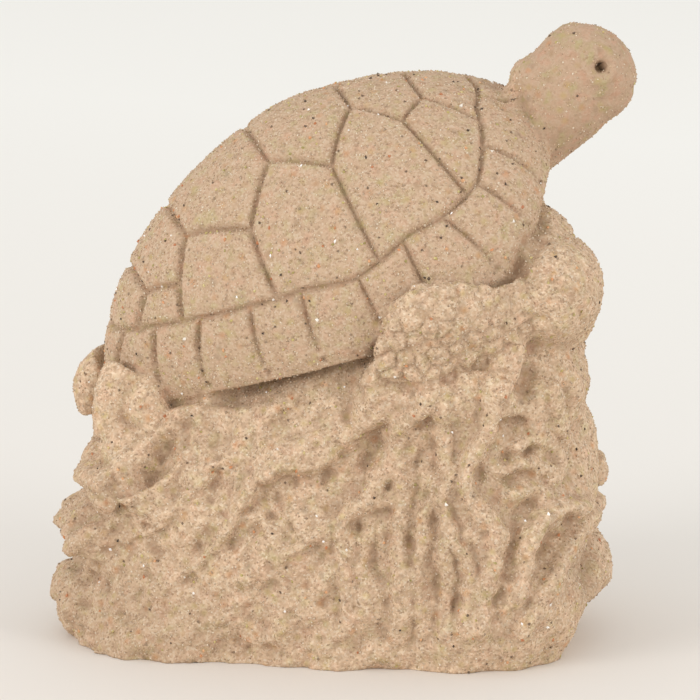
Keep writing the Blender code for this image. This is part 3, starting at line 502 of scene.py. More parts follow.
RIGHT_PITS = (
    (1.4, 1.5, (21.4, 33.8)), (1.2, 0.8, (22.2, 36.0)), (0.9, 1.6, (22.1, 26.5)), (0.8, 1.2, (19.3, 26.2)),
    (0.6, 1.0, (9.8, 21.6)), (0.6, 1.0, (10.9, 22.3)), (0.5, 0.8, (11.8, 23.6)),
    (0.9, 1.2, (-23.6, 16.7)), (1.0, 1.2, (-22.8, 13.2)), (0.9, 1.2, (-11.0, 17.0)),
    (0.7, 1.0, (-8.3, 18.3)),
    (0.7, 1.0, (-7.7, 20.4)), (0.7, 1.1, (-6.3, 16.0)), (0.8, 1.0, (-3.6, 17.8)), (0.8, 1.0, (-3.3, 15.0)),
    (1.1, 1.1, (-4.0, 23.2)), (1.1, 1.2, (-1.8, 23.8)), (1.0, 1.0, (-0.4, 26.4)), (0.8, 1.1, (2.2, 17.4)),
    (0.5, 1.0, (0.6, 13.6)), (1.0, 1.2, (-6.4, 6.7)), (0.7, 1.0, (-4.2, 10.3)), (0.6, 1.0, (-8.3, 12.4)),
    (0.6, 0.9, (-2.4, 8.3)), (0.6, 0.9, (-13.7, 15.0)), (0.6, 0.9, (-14.7, 25.6)), (0.8, 0.8, (-15.7, 20.6)),
    (0.7, 0.9, (-16.9, 14.2)), (0.5, 0.9, (-22.7, 3.4)), (0.6, 0.8, (0.9, 4.4)), (0.8, 0.9, (-19.0, 10.0)),
)
LEFT_FRONDS = (
    (1.8, 1.3, ((14.0, 34.0), (10.5, 26.0), (9.0, 16.0), (8.0, 4.0))),
    (1.7, 1.2, ((20.5, 35.0), (17.0, 25.0), (14.5, 15.0), (13.0, 4.0))),
    (1.5, 1.4, ((27.0, 25.0), (22.0, 18.0), (19.5, 10.0), (18.5, 4.0))),
)
LEFT_LEDGES = (
    (2.2, 4.6, ((-30.0, 18.0), (-24.0, 20.0), (-16.0, 27.0), (-11.0, 31.0))),
    (1.8, 4.4, ((-24.0, 6.0), (-16.0, 12.0), (-8.0, 20.0), (2.0, 25.0))),
    (1.2, 3.4, ((-12.0, 3.0), (-5.0, 9.0), (1.0, 15.0))),
)


def distance_to_path(flat, path):
    """Distance of each flat point to a broken line, positive on the line's left hand."""
    best = np.full(len(flat), 1e9)
    hand = np.ones(len(flat))
    corners = np.array(path, dtype=float)
    for start, end in zip(corners, corners[1:]):
        run = end - start
        away = flat - start
        t = np.clip((away @ run) / (run @ run), 0.0, 1.0)
        gap = np.linalg.norm(away - t[:, None] * run, axis=1)
        nearer = gap < best
        best[nearer] = gap[nearer]
        cross = run[0] * away[:, 1] - run[1] * away[:, 0]
        hand[nearer] = np.where(cross[nearer] >= 0.0, 1.0, -1.0)
    return best, hand


def rock_relief(points, normals, side, round_tail, fronds, ledges, furrows=(), pits=()):
    """Height of the carving on one side of the rock, and round the tail end if it runs on there."""
    turned = side * normals[:, 1] + round_tail * np.clip(-normals[:, 0], 0.0, 1.0)
    turned += 0.5 * np.clip(normals[:, 0], 0.0, 1.0)
    facing = smoothstep(0.15, 0.6, turned)
    flat = points[:, (0, 2)].copy()
    flat[:, 0] += 0.5 * roughness(points, 1.8, 2, seed=11.0)
    flat[:, 1] += 0.5 * roughness(points, 1.8, 2, seed=17.0)
    raised = np.zeros(len(points))
    for half_width, height, path in fronds:
        gap, _ = distance_to_path(flat, path)
        bead = np.sqrt(np.clip(1.0 - (gap / half_width) ** 2, 0.0, 1.0))
        raised = np.maximum(raised, 0.9 * height * bead)
    dipped = flat - np.array((0.0, STRATA_DIP)) * np.clip(points[:, 1:2] + 17.0, 0.0, 20.0)
    for height, reach, path in ledges:
        gap, hand = distance_to_path(dipped, path)
        above = np.clip(1.0 - gap / reach, 0.0, 1.0) ** 1.3
        below = np.exp(-((gap / 0.5) ** 2))
        raised += height * np.where(hand > 0.0, above, below)
    for half_width, depth, path in furrows:
        gap, _ = distance_to_path(flat, path)
        raised -= 0.7 * depth * np.exp(-((gap / half_width) ** 2))
    for half_width, depth, centre in pits:
        gap = np.linalg.norm(flat - np.array(centre), axis=1)
        raised -= depth * np.exp(-((gap / half_width) ** 2))
    return raised * facing * (0.7 + 0.3 * smoothstep(8.0, 18.0, points[:, 2]))


def shell_place(points):
    """Each point on the unit disc of the shell, its height over the rim, and over the dome."""
    world = np.array(shell_frame)
    local = (points - world[:3, 3]) @ world[:3, :3]
    x = local[:, 0] / SHELL_HALF_LENGTH
    y = local[:, 1] / (SHELL_HALF_WIDTH * (1.0 + SHELL_FRONT_FLARE * np.clip(x, -1.1, 1.1)))
    bulge = rim_bulge(x, y)
    squared = x * x + y * y
    wider = np.ones(len(points))
    for _ in range(6):
        wider = 1.0 + bulge * np.minimum(squared / (wider * wider), 1.2) ** 3
    x, y = x / wider, y / wider
    over_rim = local[:, 2] + droop(x, y)
    return x, y, over_rim, over_rim - dome_height(x, y)


def on_shell(points):
    """1 on the shell's outer face and its rim, 0 elsewhere."""
    x, y, over_rim, over_dome = shell_place(points)
    inside = 1.0 - smoothstep(1.0, 1.025, np.hypot(x, y))
    above = smoothstep(-RIM_THICKNESS - 0.4, -RIM_THICKNESS + 0.5, over_rim)
    return inside * above * (1.0 - smoothstep(0.8, 1.8, over_dome))


def off_rim(points):
    """Distance of each point outwards and down from the shell's rim, in millimetres."""
    x, y, over_rim, _ = shell_place(points)
    outwards = np.maximum(np.hypot(x, y) - 1.0, 0.0) * 25.0
    return np.hypot(outwards, np.maximum(-RIM_THICKNESS - over_rim, 0.0))


# Depth of the gap under the rim, by the angle from the head end in degrees.
CREVICE_ANGLES = (0.0, 22.0, 34.0, 70.0, 85.0, 128.0, 136.0, 180.0)
CREVICE_DEPTHS = (0.1, 0.1, 1.4, 1.8, 3.4, 3.4, 0.2, 0.2)


def rim_crevice(points, reach=0.8):
    """The gap that parts the rim from the neck, the shoulders and the rock under it."""
    x, y, over_rim, _ = shell_place(points)
    angle = np.degrees(np.arctan2(np.abs(y), x))
    depth = np.interp(angle, CREVICE_ANGLES, CREVICE_DEPTHS)
    depth *= 1.0 - smoothstep(0.4, 1.4, over_rim)
    return -depth * np.exp(-(((off_rim(points) - 0.6) / reach) ** 2))


def cells(points, size):
    """For each point the distances to its own pebble's middle and to the next one's."""
    nearest = [noise.voronoi(place)[0][:2] for place in (points / size).tolist()]
    return np.array(nearest) * size


def crumbs(points, size, depth):
    """Small uneven pits where grains have broken away, in some of the cells only."""
    amount = np.zeros(len(points))
    for index, place in enumerate((points / size).tolist()):
        place = Vector(place) + 0.22 * noise.noise_vector(Vector(place) * 3.0)
        distances, middles = noise.voronoi(place)
        strength = noise.cell(middles[0] * 7.0)
        if strength > 0.1:
            amount[index] = -depth * strength * math.exp(-((distances[0] / 0.24) ** 2))
    return amount


# Creases of the skin, and folds where the depth is negative: half width, depth, path.
CREASES = (
    (0.5, 0.35, ((24.6, 47.6), (25.3, 47.0), (26.8, 45.6), (28.0, 44.0), (28.4, 42.0))),
    (0.4, 0.3, ((21.6, 47.6), (24.0, 48.6), (27.0, 49.4))),
    (0.6, 0.35, ((20.6, 41.0), (22.4, 42.6), (24.0, 43.0))),
    (0.9, -0.4, ((14.4, 35.8), (17.0, 35.9), (19.2, 37.4))),
    (0.75, -1.1, ((20.8, 39.8), (20.9, 38.4), (20.1, 36.4), (18.5, 34.0))),
    (1.1, 0.55, ((21.6, 35.4), (22.0, 37.2), (22.2, 39.0))),
)


def skin_relief(points):
    """Pebbly scales and creases on the front flippers, and folds round the shoulders."""
    x, z = points[:, 0], points[:, 2]
    blade = smoothstep(15.5, 18.0, np.abs(points[:, 1])) * smoothstep(34.5, 36.5, z)
    blade *= 1.0 - smoothstep(47.0, 50.0, z)
    off_shell = 1.0 - on_shell(points)
    blade *= smoothstep(1.5, 3.5, x) * off_shell
    blade *= 1.0 - 0.35 * smoothstep(11.0, 16.0, x) - 0.35 * smoothstep(22.0, 25.0, x)
    amount = np.zeros(len(points))
    picked = np.flatnonzero(blade > 0.02)
    near = cells(points[picked], 2.2)
    amount[picked] = blade[picked] * (0.6 * smoothstep(-0.2, 0.9, near[:, 1] - near[:, 0]) - 0.32)
    bend = np.array([noise.noise(place) for place in (points / 3.0).tolist()])
    folds = 0.1 * np.sin((z + 0.25 * x + 1.6 * bend) * 2.0 * math.pi / 1.25)
    shoulder = smoothstep(21.5, 24.0, x) * smoothstep(44.0, 46.5, z) * (1.0 - smoothstep(53.0, 55.5, z))
    amount += folds * shoulder * off_shell
    for half_width, depth, path in CREASES:
        gap, _ = distance_to_path(points[:, (0, 2)], path)
        amount -= depth * np.exp(-((gap / half_width) ** 2)) * smoothstep(10.0, 14.0, np.abs(points[:, 1]))
    return amount


# Whatever stands through the dome from inside, but for the nape, is pushed back under it.
points, _ = points_and_normals(casting.data)
x, y, _, over_dome = shell_place(points)
nape = smoothstep(0.8, 0.92, x) * (1.0 - smoothstep(0.12, 0.3, np.abs(y)))
buried = np.where(np.hypot(x, y) < 1.0, np.maximum(over_dome, 0.0) * (1.0 - nape), 0.0)
points -= buried[:, None] * np.array(shell_frame)[:3, 2]
set_points(casting.data, points)
casting = reskin(casting, 0.3, 1)


def rock_only(points):
    """1 on the rock, 0 on the turtle, whose tail and rear flippers lie over the upper plate."""
    x, z = points[:, 0], points[:, 2]
    tail_skin = smoothstep(0.6, 1.8, z - 42.0 - 0.6 * x) * (1.0 - smoothstep(-24.0, -21.0, x))
    return (1.0 - smoothstep(36.0, 39.0, z)) * (1.0 - tail_skin) * (1.0 - on_shell(points))


def plate_face(points):
    """1 on the face of the upper plate, which is smoother than the rest of the rock."""
    x, z = points[:, 0], points[:, 2]
    return smoothstep(-0.6, 0.6, z - 43.0 - 0.78 * x) * (1.0 - smoothstep(-18.0, -14.0, x))


points, normals = points_and_normals(casting.data)
shelly = on_shell(points)
rocky = rock_only(points)
relief = rock_relief(points, normals, -1.0, 0.8, RIGHT_FRONDS, RIGHT_LEDGES, RIGHT_FURROWS, RIGHT_PITS)
relief += rock_relief(points, normals, 1.0, 0.0, LEFT_FRONDS, LEFT_LEDGES)
# The head end of the rock is smoother, except for its fronds.
coarse = 0.7 - 0.42 * smoothstep(3.0, 8.0, points[:, 0])
rough = 1.8 * roughness(points, 6.5, 2, along=0.5) + coarse * roughness(points, 2.3, 2, along=0.75, seed=4.0)
relief += rough * (1.0 - 0.8 * plate_face(points))
relief *= smoothstep(0.0, 2.5, off_rim(points))
relief = relief * rocky + rim_crevice(points) * (1.0 - shelly)
press(casting, relief)
casting = reskin(casting, 0.27, 1)

# Scute seams, on the shell's unit disc for both sides, and the eyes and mouth.
RING_ANGLES = (0.0, 16.0, 28.0, 44.0, 58.0, 69.0, 88.0, 100.0, 180.0)
RING_RADII = (0.88, 0.86, 0.885, 0.91, 0.895, 0.87, 0.9, 0.88, 0.88)
KEEL_NODES = ((0.67, 0.18), (0.41, 0.17), (0.01, 0.31), (-0.43, 0.33), (-0.69, 0.32))
COSTAL_NODES = ((0.55, 0.33), (0.21, 0.49), (-0.20, 0.57), (-0.56, 0.50))
COSTAL_FEET = (49.0, 80.0, 107.5, 136.0)
KEEL_FRONT_FOOT = 22.0
KEEL_REAR_FOOT = 155.0
MARGINAL_TOPS = (31.0, 44.0, 59.0, 71.5, 87.0, 101.0, 115.0, 130.0, 147.0, 163.0)
MARGINAL_FEET = (29.0, 43.0, 58.0, 76.0, 88.5, 104.0, 117.0, 133.0, 148.0, 168.0)
SEAM_DEPTH = 0.85
SEAM_WIDTH = 0.4


def on_ring(degrees, radius=None):
    """A place on the unit disc, by default on the ring between costal and marginal scutes."""
    if radius is None:
        radius = float(np.interp(degrees, RING_ANGLES, RING_RADII))
    angle = math.radians(min(degrees, 180.0))
    return (radius * math.cos(angle), radius * math.sin(angle))


def seam_paths():
    """Every seam of the shell as a path on the unit disc, for both sides."""
    zigzag = [on_ring(KEEL_FRONT_FOOT)]
    for index, node in enumerate(KEEL_NODES):
        zigzag.append(node)
        zigzag += COSTAL_NODES[index:index + 1]
    zigzag.append(on_ring(KEEL_REAR_FOOT))
    paths = [zigzag]
    for node, foot in zip(COSTAL_NODES, COSTAL_FEET):
        paths.append([node, on_ring(foot)])
    paths.append([on_ring(step) for step in range(0, 181, 4)])
    for top, foot in zip(MARGINAL_TOPS, MARGINAL_FEET):
        paths.append([on_ring(top), on_ring(foot, 1.0)])
    paths.append([on_ring(9.0), on_ring(9.0, 1.0)])
    paths += [[(x, -y) for x, y in path] for path in list(paths)]
    paths += [[(x, -y), (x, y)] for x, y in KEEL_NODES]
    return paths


def shell_relief(points):
    """Seams cut in between the scutes, which are nearly flat."""
    marks = []
    for path in seam_paths():
        for (x0, y0), (x1, y1) in zip(path, path[1:]):
            steps = max(2, int(math.hypot(x1 - x0, y1 - y0) * SHELL_HALF_LENGTH / 0.15))
            for t in np.linspace(0.0, 1.0, steps):
                x, y = x0 + t * (x1 - x0), y0 + t * (y1 - y0)
                marks.append(shell_frame @ shell_point(x, y, float(dome_height(x, y))))
    tree = KDTree(len(marks))
    for index, mark in enumerate(marks):
        tree.insert(mark, index)
    tree.balance()
    amount = on_shell(points)
    x, y, over_rim, _ = shell_place(points)
    deep = SEAM_DEPTH * (1.0 - 0.4 * smoothstep(0.95, 1.0, np.hypot(x, y)))
    deep *= smoothstep(-1.0, -0.2, over_rim)
    for index in np.flatnonzero(amount > 0.0):
        gap = tree.find(points[index])[2]
        crown = 0.12 * min(1.0, gap / 3.0)
        amount[index] *= crown - deep[index] * math.exp(-((gap / SEAM_WIDTH) ** 2))
    return amount


def head_relief(points):
    """Sunken eyes in raised lids, and the line of the mouth."""
    amount = np.zeros(len(points))
    for side in (-1.0, 1.0):
        away = points - np.array((31.0, side * 4.8, 71.1))
        gap = np.linalg.norm(away, axis=1)
        amount += 0.42 * np.exp(-(((gap - 1.75) / 0.6) ** 2))
        amount -= 1.5 * np.exp(-((gap / 0.62) ** 4))
        brow, _ = distance_to_path(points[:, (0, 2)], ((29.6, 73.4), (31.4, 73.6), (33.2, 72.4)))
        amount += 0.25 * np.exp(-((brow / 0.7) ** 2)) * smoothstep(1.0, 2.5, side * points[:, 1])
    gap, _ = distance_to_path(points[:, (0, 2)], ((37.0, 68.9), (33.5, 67.2), (30.5, 67.0)))
    face = smoothstep(29.5, 31.5, points[:, 0])
    return amount - 0.2 * face * np.exp(-((gap / 0.5) ** 2))


points, _ = points_and_normals(casting.data)
rocky = rock_only(points) * (1.0 - 0.8 * plate_face(points))
press(casting, shell_relief(points) + head_relief(points) + skin_relief(points))
points, _ = points_and_normals(casting.data)
# Crumbs break away at the tail end of the rock, clear of the rim.
crumbly = rocky * smoothstep(0.0, 1.5, off_rim(points))
crumbly *= 1.0 - 0.9 * smoothstep(-2.0, 4.0, points[:, 0])
relief = 0.2 * roughness(points, 1.1, 2) + crumbs(points, 2.9, 0.7) + crumbs(points + 9.0, 1.6, 0.3)
press(casting, crumbly * relief + (0.06 - 0.02 * rocky) * roughness(points, 0.7, 2, seed=2.0))

thin = casting.modifiers.new("thin", "DECIMATE")
thin.ratio = CASTING_TRIANGLES / (2.0 * len(casting.data.polygons))
applied(casting)

# Crumbs that the pressing has parted from the lump are dropped.
solid = bmesh.new()
solid.from_mesh(casting.data)
in_lump, reached = set(), [max(solid.verts, key=lambda vert: vert.co.z)]
while reached:
    vert = reached.pop()
    if vert not in in_lump:
        in_lump.add(vert)
        reached.extend(edge.other_vert(vert) for edge in vert.link_edges)
bmesh.ops.delete(solid, geom=[vert for vert in solid.verts if vert not in in_lump], context="VERTS")
# The underside is rubbed flat, so the skin is cut off level there and closed.
everything = list(solid.verts) + list(solid.edges) + list(solid.faces)
level = {"plane_co": (0.0, 0.0, 0.0), "plane_no": (0.0, 0.0, 1.0)}
bmesh.ops.bisect_plane(solid, geom=everything, dist=0.00001, clear_inner=True, **level)
bmesh.ops.holes_fill(solid, edges=[edge for edge in solid.edges if edge.is_boundary])
bmesh.ops.triangulate(solid, faces=solid.faces)
bmesh.ops.recalc_face_normals(solid, faces=solid.faces)
solid.to_mesh(casting.data)
solid.free()


def hollows(mesh, rounds):
    """How far each point lies below its surroundings, in millimetres."""
    points, normals = points_and_normals(mesh)
    ends = np.empty(len(mesh.edges) * 2, dtype=int)
    mesh.edges.foreach_get("vertices", ends)
    ends = ends.reshape(-1, 2)
    count = np.bincount(ends.ravel(), minlength=len(points))[:, None].astype(float)
    level = points
    for _ in range(rounds):
        total = np.zeros_like(level)
        np.add.at(total, ends[:, 0], level[ends[:, 1]])
        np.add.at(total, ends[:, 1], level[ends[:, 0]])
        level = 0.5 * level + 0.5 * total / count
    return ((level - points) * normals).sum(axis=1)


def keep(mesh, name, values):
    """Stores one number for each point of the mesh under a name that a material can read."""
    mesh.attributes.new(name, "FLOAT", "POINT").data.foreach_set("value", values.astype(np.float32))


points, _ = points_and_normals(casting.data)
x, y, z = points.T
sunk = hollows(casting.data, 12) / DEEP_HOLLOW
hollow = np.clip(sunk, 0.0, 1.0)
shelly = on_shell(points)
smooth_skin = smoothstep(19.5, 22.5, x) * smoothstep(57.5, 60.5, z) * (1.0 - shelly)
near_side = smoothstep(2.0, -4.0, y)
foot = 1.0 - smoothstep(-20.0, 0.0, x + 1.2 * z)

# How clearly single grains show in the skin, and how thickly loose ones lie on it.
# In the hollows grit is lower, which smooths the speckle and, as the even tint is darker than the grains,
# paints in a little shade.
keep(casting.data, "grit", (0.9 - 0.3 * shelly - 0.65 * smooth_skin) * (1.0 - 0.5 * hollow))
strewn = np.where(z > 0.3, 0.4 + 0.2 * shelly - 0.15 * smooth_skin, 0.0) * (1.0 - 0.5 * hollow)
keep(casting.data, "strewn", strewn)

# Painted shade: the sand is painted darker in the gap under the rim, in the undercut at the head end
# of the foot, at the foot's tail end, among the fronds and under the upper plate, where shade falls.
# The eye holes are painted near black, also as shade.
hollow += 2.1 * np.clip(-rim_crevice(points, 1.3) / 2.4, 0.0, 1.0) * (1.0 - shelly)
undercut = np.exp(-(((x - 29.2 + 0.25 * (z - 10.0)) / 2.0) ** 2) - ((z - 10.0) / 4.0) ** 2) * near_side
hollow += 0.9 * undercut
among_fronds = np.exp(-(((x - 10.0) / 7.0) ** 2) - ((z - 15.0) / 9.0) ** 2) * near_side
to_plate, _ = distance_to_path(points[:, (0, 2)], UNDER_PLATE)
under_plate = np.exp(-((to_plate / 1.3) ** 2)) * smoothstep(0.0, -6.0, y)
hollow += (0.4 * foot + 0.42 * among_fronds + 0.6 * under_plate) * (1.0 - shelly)
to_eye = np.linalg.norm(np.stack((x - 31.0, np.abs(y) - 4.2, z - 71.1)), axis=0)
keep(casting.data, "hollow", hollow + 6.0 * np.exp(-((to_eye / 0.8) ** 4)))

# Painted light: the crests of the rock and the flippers, which catch more light, get a mottle that is
# mostly paler.
crest = np.clip(0.7 - 0.4 * sunk, 0.0, 1.3) * (1.0 - shelly) * (1.0 - smooth_skin)
keep(casting.data, "crest", crest * (1.0 - foot) * (1.0 - undercut))


SHEET_SIDE = 156.0


def box_map(mesh):
    """Lays the six sides of the mesh out on one sheet as its UV map, each seen square on."""
    points, _ = points_and_normals(mesh)
    points = points - points.min(axis=0)
    corners = np.empty(len(mesh.loops), dtype=int)
    mesh.loops.foreach_get("vertex_index", corners)
    facing = np.empty(len(mesh.polygons) * 3)
    mesh.polygons.foreach_get("normal", facing)
    facing = np.repeat(facing.reshape(-1, 3), 3, axis=0)
    axis = np.abs(facing).argmax(axis=1)
    ahead = facing[np.arange(len(axis)), axis] > 0.0
    x, y, z = points[corners].T
    across = np.choose(axis, (y, x, y))
    up = np.choose(axis, (z, z, x))
    # The underside, which is plain, is laid out small. Places on the sheet are in millimetres.
    scale = np.where((axis == 2) & ~ahead, 0.15, 1.0)
    left = np.choose(axis, (ahead * 48.0, ahead * 74.0, np.where(ahead, 96.0, 145.0)))
    foot = np.choose(axis, (0.0, 78.0, 0.0))
    flat = np.stack((across * scale + left, up * scale + foot), axis=1) / SHEET_SIDE
    mesh.uv_layers.new(name="OFBake").uv.foreach_set("vector", flat.astype(np.float32).ravel())


box_map(casting.data)
# From the drawing, in millimetres, to the place of the CAD, in metres.
low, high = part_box("sand_turtle")
middle = Matrix.Translation(((low.x + high.x) / 2.0, (low.y + high.y) / 2.0, low.z))
put(casting, middle @ Matrix.Scale(MILLIMETRE, 4) @ Matrix.Translation((0.43, -0.51, 0.0)))
casting.data.shade_smooth()
casting.name = "casting"
casting.data.name = "casting"
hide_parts("sand_turtle")
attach(casting, "root")


def add_node(tree, kind, inputs=(), **settings):
    """One node: its settings, then each input as a value or as a link from another node."""
    made = tree.nodes.new(kind)
    for name, setting in settings.items():
        setattr(made, name, setting)
    for key, value in dict(inputs).items():
        if isinstance(value, bpy.types.NodeSocket):
            tree.links.new(value, made.inputs[key])
        else:
            made.inputs[key].default_value = value
    return made


def linear(hex_colour):
    """An sRGB hex value as linear red, green, blue and alpha."""
    parts = [int(hex_colour[at:at + 2], 16) / 255.0 for at in (0, 2, 4)]
    return (*[c / 12.92 if c <= 0.04045 else ((c + 0.055) / 1.055) ** 2.4 for c in parts], 1.0)


def new_material(name):
    """A material with an empty node tree, and that tree."""
    material = bpy.data.materials.new(name)
    material.use_nodes = True
    material.node_tree.nodes.clear()
    return material, material.node_tree


def ramp(tree, factor, stops):
    """The colour for a factor between stops of (place, colour)."""
    made = add_node(tree, "ShaderNodeValToRGB", {"Fac": factor})
    bands = made.color_ramp.elements
    while len(bands) < len(stops):
        bands.new(1.0)
    for band, (place, colour) in zip(bands, stops):
        band.position = place
        band.color = linear(colour)
    return made.outputs["Color"]


def stored(tree, name):
    """The number that each point keeps under a name."""
    return add_node(tree, "ShaderNodeAttribute", attribute_name=name).outputs["Fac"]


def finish(tree, inputs):
    """Ends a material with its surface."""
    surface = add_node(tree, "ShaderNodeBsdfPrincipled", inputs)
    add_node(tree, "ShaderNodeOutputMaterial", {"Surface": surface.outputs[0]})


# Beach sand bonded with clear resin: dry matt quartz, buff and pinkish, with grains of 0.25 mm.
# The eye gets a fine speckle, soft blotches of tint a few grains wide, a mottle of painted light that
# pales the crests, painted shade in the hollows and the shaded places, the eye holes painted near black
# as shade, and no gloss.
bonded_sand, tree = new_material("bonded_sand")
place = add_node(tree, "ShaderNodeTexCoord")
mm = add_node(tree, "ShaderNodeMapping", {"Vector": place.outputs["Object"], "Scale": (1000.0,) * 3})
mm = mm.outputs[0]
grain = add_node(tree, "ShaderNodeTexVoronoi", {"Vector": mm, "Scale": 1.0 / 0.24})
tone = add_node(tree, "ShaderNodeSeparateColor", {"Color": grain.outputs["Color"]})
sand = ramp(
    tree,
    tone.outputs[0],
    ((0.0, "947c65"), (0.08, "b89d80"), (0.4, "d2b596"), (0.8, "e0c8aa"), (1.0, "ebdbc2")),
)
blotch = add_node(tree, "ShaderNodeTexNoise", {"Vector": mm, "Scale": 0.55, "Detail": 2.0, "Roughness": 0.6})
tint = ramp(
    tree,
    blotch.outputs["Fac"],
    ((0.3, "a6966f"), (0.45, "ae937a"), (0.55, "b1957d"), (0.7, "b68f77")),
)
spot = add_node(tree, "ShaderNodeTexVoronoi", {"Vector": mm, "Scale": 0.6})
kind = add_node(tree, "ShaderNodeSeparateColor", {"Color": spot.outputs["Color"]})
stain = ramp(
    tree,
    kind.outputs[1],
    ((0.0, "a8965a"), (0.4, "b3a06a"), (0.6, "c07f4e"), (0.8, "a08264"), (1.0, "8c7c6a")),
)
hollow = stored(tree, "hollow")
for factor, spans, colour in (
    (stored(tree, "grit"), {"To Min": 1.0, "To Max": 0.4}, tint),
    (spot.outputs["Distance"], {"From Max": 0.38, "To Min": 0.62, "To Max": 0.0}, stain),
    # Painted shade: the hollows and the shaded places darken towards brown.
    (hollow, {"From Max": 2.0, "To Max": 0.62}, linear("7d6148")),
    # Painted shade: the eye holes go near black.
    (hollow, {"From Min": 3.0, "From Max": 6.0}, linear("1c1410")),
):
    share = add_node(tree, "ShaderNodeMapRange", {"Value": factor, **spans})
    mix = add_node(tree, "ShaderNodeMix", {0: share.outputs[0], 6: sand, 7: colour}, data_type="RGBA")
    sand = mix.outputs[2]
# Painted light on the crests: the crest attribute scales a mottle that mostly pales the colour.
mottle = add_node(tree, "ShaderNodeTexNoise", {"Vector": mm, "Scale": 1.4, "Detail": 2.0})
lift = add_node(
    tree,
    "ShaderNodeMapRange",
    {"Value": mottle.outputs["Fac"], "From Min": 0.3, "From Max": 0.7, "To Min": -0.12, "To Max": 0.22},
)
bright = add_node(
    tree,
    "ShaderNodeMath",
    {0: stored(tree, "crest"), 1: lift.outputs[0], 2: 1.0},
    operation="MULTIPLY_ADD",
)
lit = add_node(tree, "ShaderNodeVectorMath", {0: sand, "Scale": bright.outputs[0]}, operation="SCALE")
knobs = add_node(tree, "ShaderNodeTexNoise", {"Vector": mm, "Scale": 4.5, "Detail": 1.0})
relief = {"Strength": 0.6, "Distance": 0.0001, "Height": knobs.outputs["Fac"]}
bump = add_node(tree, "ShaderNodeBump", relief)
finish(
    tree,
    {
        "Base Color": lit.outputs[0],
        "Roughness": 0.92,
        "Normal": bump.outputs["Normal"],
        "Specular IOR Level": 0.25,
    },
)
casting.data.materials.clear()
casting.data.materials.append(bonded_sand)

# --- Grains ----------------------------------------------------------------------------------
# The coarser sand that stands out of the skin, each grain held by the resin where it fell. Most
# are quartz and feldspar; a few are dark minerals, jasper, olivine and chips of sea shell.
FULL_TURN = 6.283
GRAIN_CORNERS = 6


def grain_tree():
    """Geometry Nodes that strew grains over a skin, turned and sized at random."""
    tree = bpy.data.node_groups.new("strewn_grains", "GeometryNodeTree")
    tree.interface.new_socket(name="Geometry", in_out="OUTPUT", socket_type="NodeSocketGeometry")
    kinds = (
        ("Skin", "Geometry"), ("Per Square Metre", "Float"), ("Across", "Float"), ("Seed", "Int"),
        ("Grain Material", "Material"),
    )
    for name, kind in kinds:
        tree.interface.new_socket(name=name, in_out="INPUT", socket_type="NodeSocket" + kind)
    given = tree.nodes.new("NodeGroupInput").outputs
    share = add_node(tree, "GeometryNodeInputNamedAttribute", {"Name": "strewn"}, data_type="FLOAT")
    crowd = add_node(
        tree, "ShaderNodeMath", {0: given["Per Square Metre"], 1: share.outputs[0]}, operation="MULTIPLY"
    )
    places = add_node(
        tree,
        "GeometryNodeDistributePointsOnFaces",
        {"Mesh": given["Skin"], "Density": crowd.outputs[0], "Seed": given["Seed"]},
    )
    radius = add_node(tree, "ShaderNodeMath", {0: given["Across"], 1: 0.5}, operation="MULTIPLY")
    grain = add_node(
        tree, "GeometryNodeMeshUVSphere", {"Segments": 4, "Rings": 2, "Radius": radius.outputs[0]}
    )
    turn = add_node(
        tree, "FunctionNodeRandomValue", {1: (FULL_TURN,) * 3, "Seed": 5}, data_type="FLOAT_VECTOR"
    )
    shape = add_node(
        tree, "FunctionNodeRandomValue", {0: (0.8, 0.7, 0.6), 1: (1.35, 1.2, 1.0), "Seed": 6},
        data_type="FLOAT_VECTOR",
    )
    strewn = add_node(
        tree,
        "GeometryNodeInstanceOnPoints",
        {
            "Points": places.outputs["Points"],
            "Instance": grain.outputs["Mesh"],
            "Rotation": turn.outputs[0],
            "Scale": shape.outputs[0],
        },
    )
    tone = add_node(tree, "FunctionNodeRandomValue", {"Seed": 7}, data_type="FLOAT")
    toned = add_node(
        tree,
        "GeometryNodeStoreNamedAttribute",
        {"Geometry": strewn.outputs[0], "Name": "tone", "Value": tone.outputs[1]},
        data_type="FLOAT",
        domain="INSTANCE",
    )
    real = add_node(tree, "GeometryNodeRealizeInstances", {"Geometry": toned.outputs[0]})
    finished = add_node(
        tree, "GeometryNodeSetMaterial", {"Geometry": real.outputs[0], "Material": given["Grain Material"]}
    )
    tree.links.new(finished.outputs[0], tree.nodes.new("NodeGroupOutput").inputs[0])
    return tree


def grain_map(mesh):
    """A UV map that gives each grain's six corners a hexagon of their own."""
    corners = np.empty(len(mesh.loops), dtype=int)
    mesh.loops.foreach_get("vertex_index", corners)
    grain, corner = np.divmod(corners, GRAIN_CORNERS)
    rows = math.ceil(math.sqrt(len(mesh.vertices) / GRAIN_CORNERS))
    angle = corner * math.pi / 3.0
    across = (grain % rows + 0.5 + 0.45 * np.cos(angle)) / rows
    up = (grain // rows + 0.5 + 0.45 * np.sin(angle)) / rows
    flat = np.stack((across, up), axis=1).astype(np.float32)
    mesh.uv_layers.new(name="OFBake").uv.foreach_set("vector", flat.ravel())


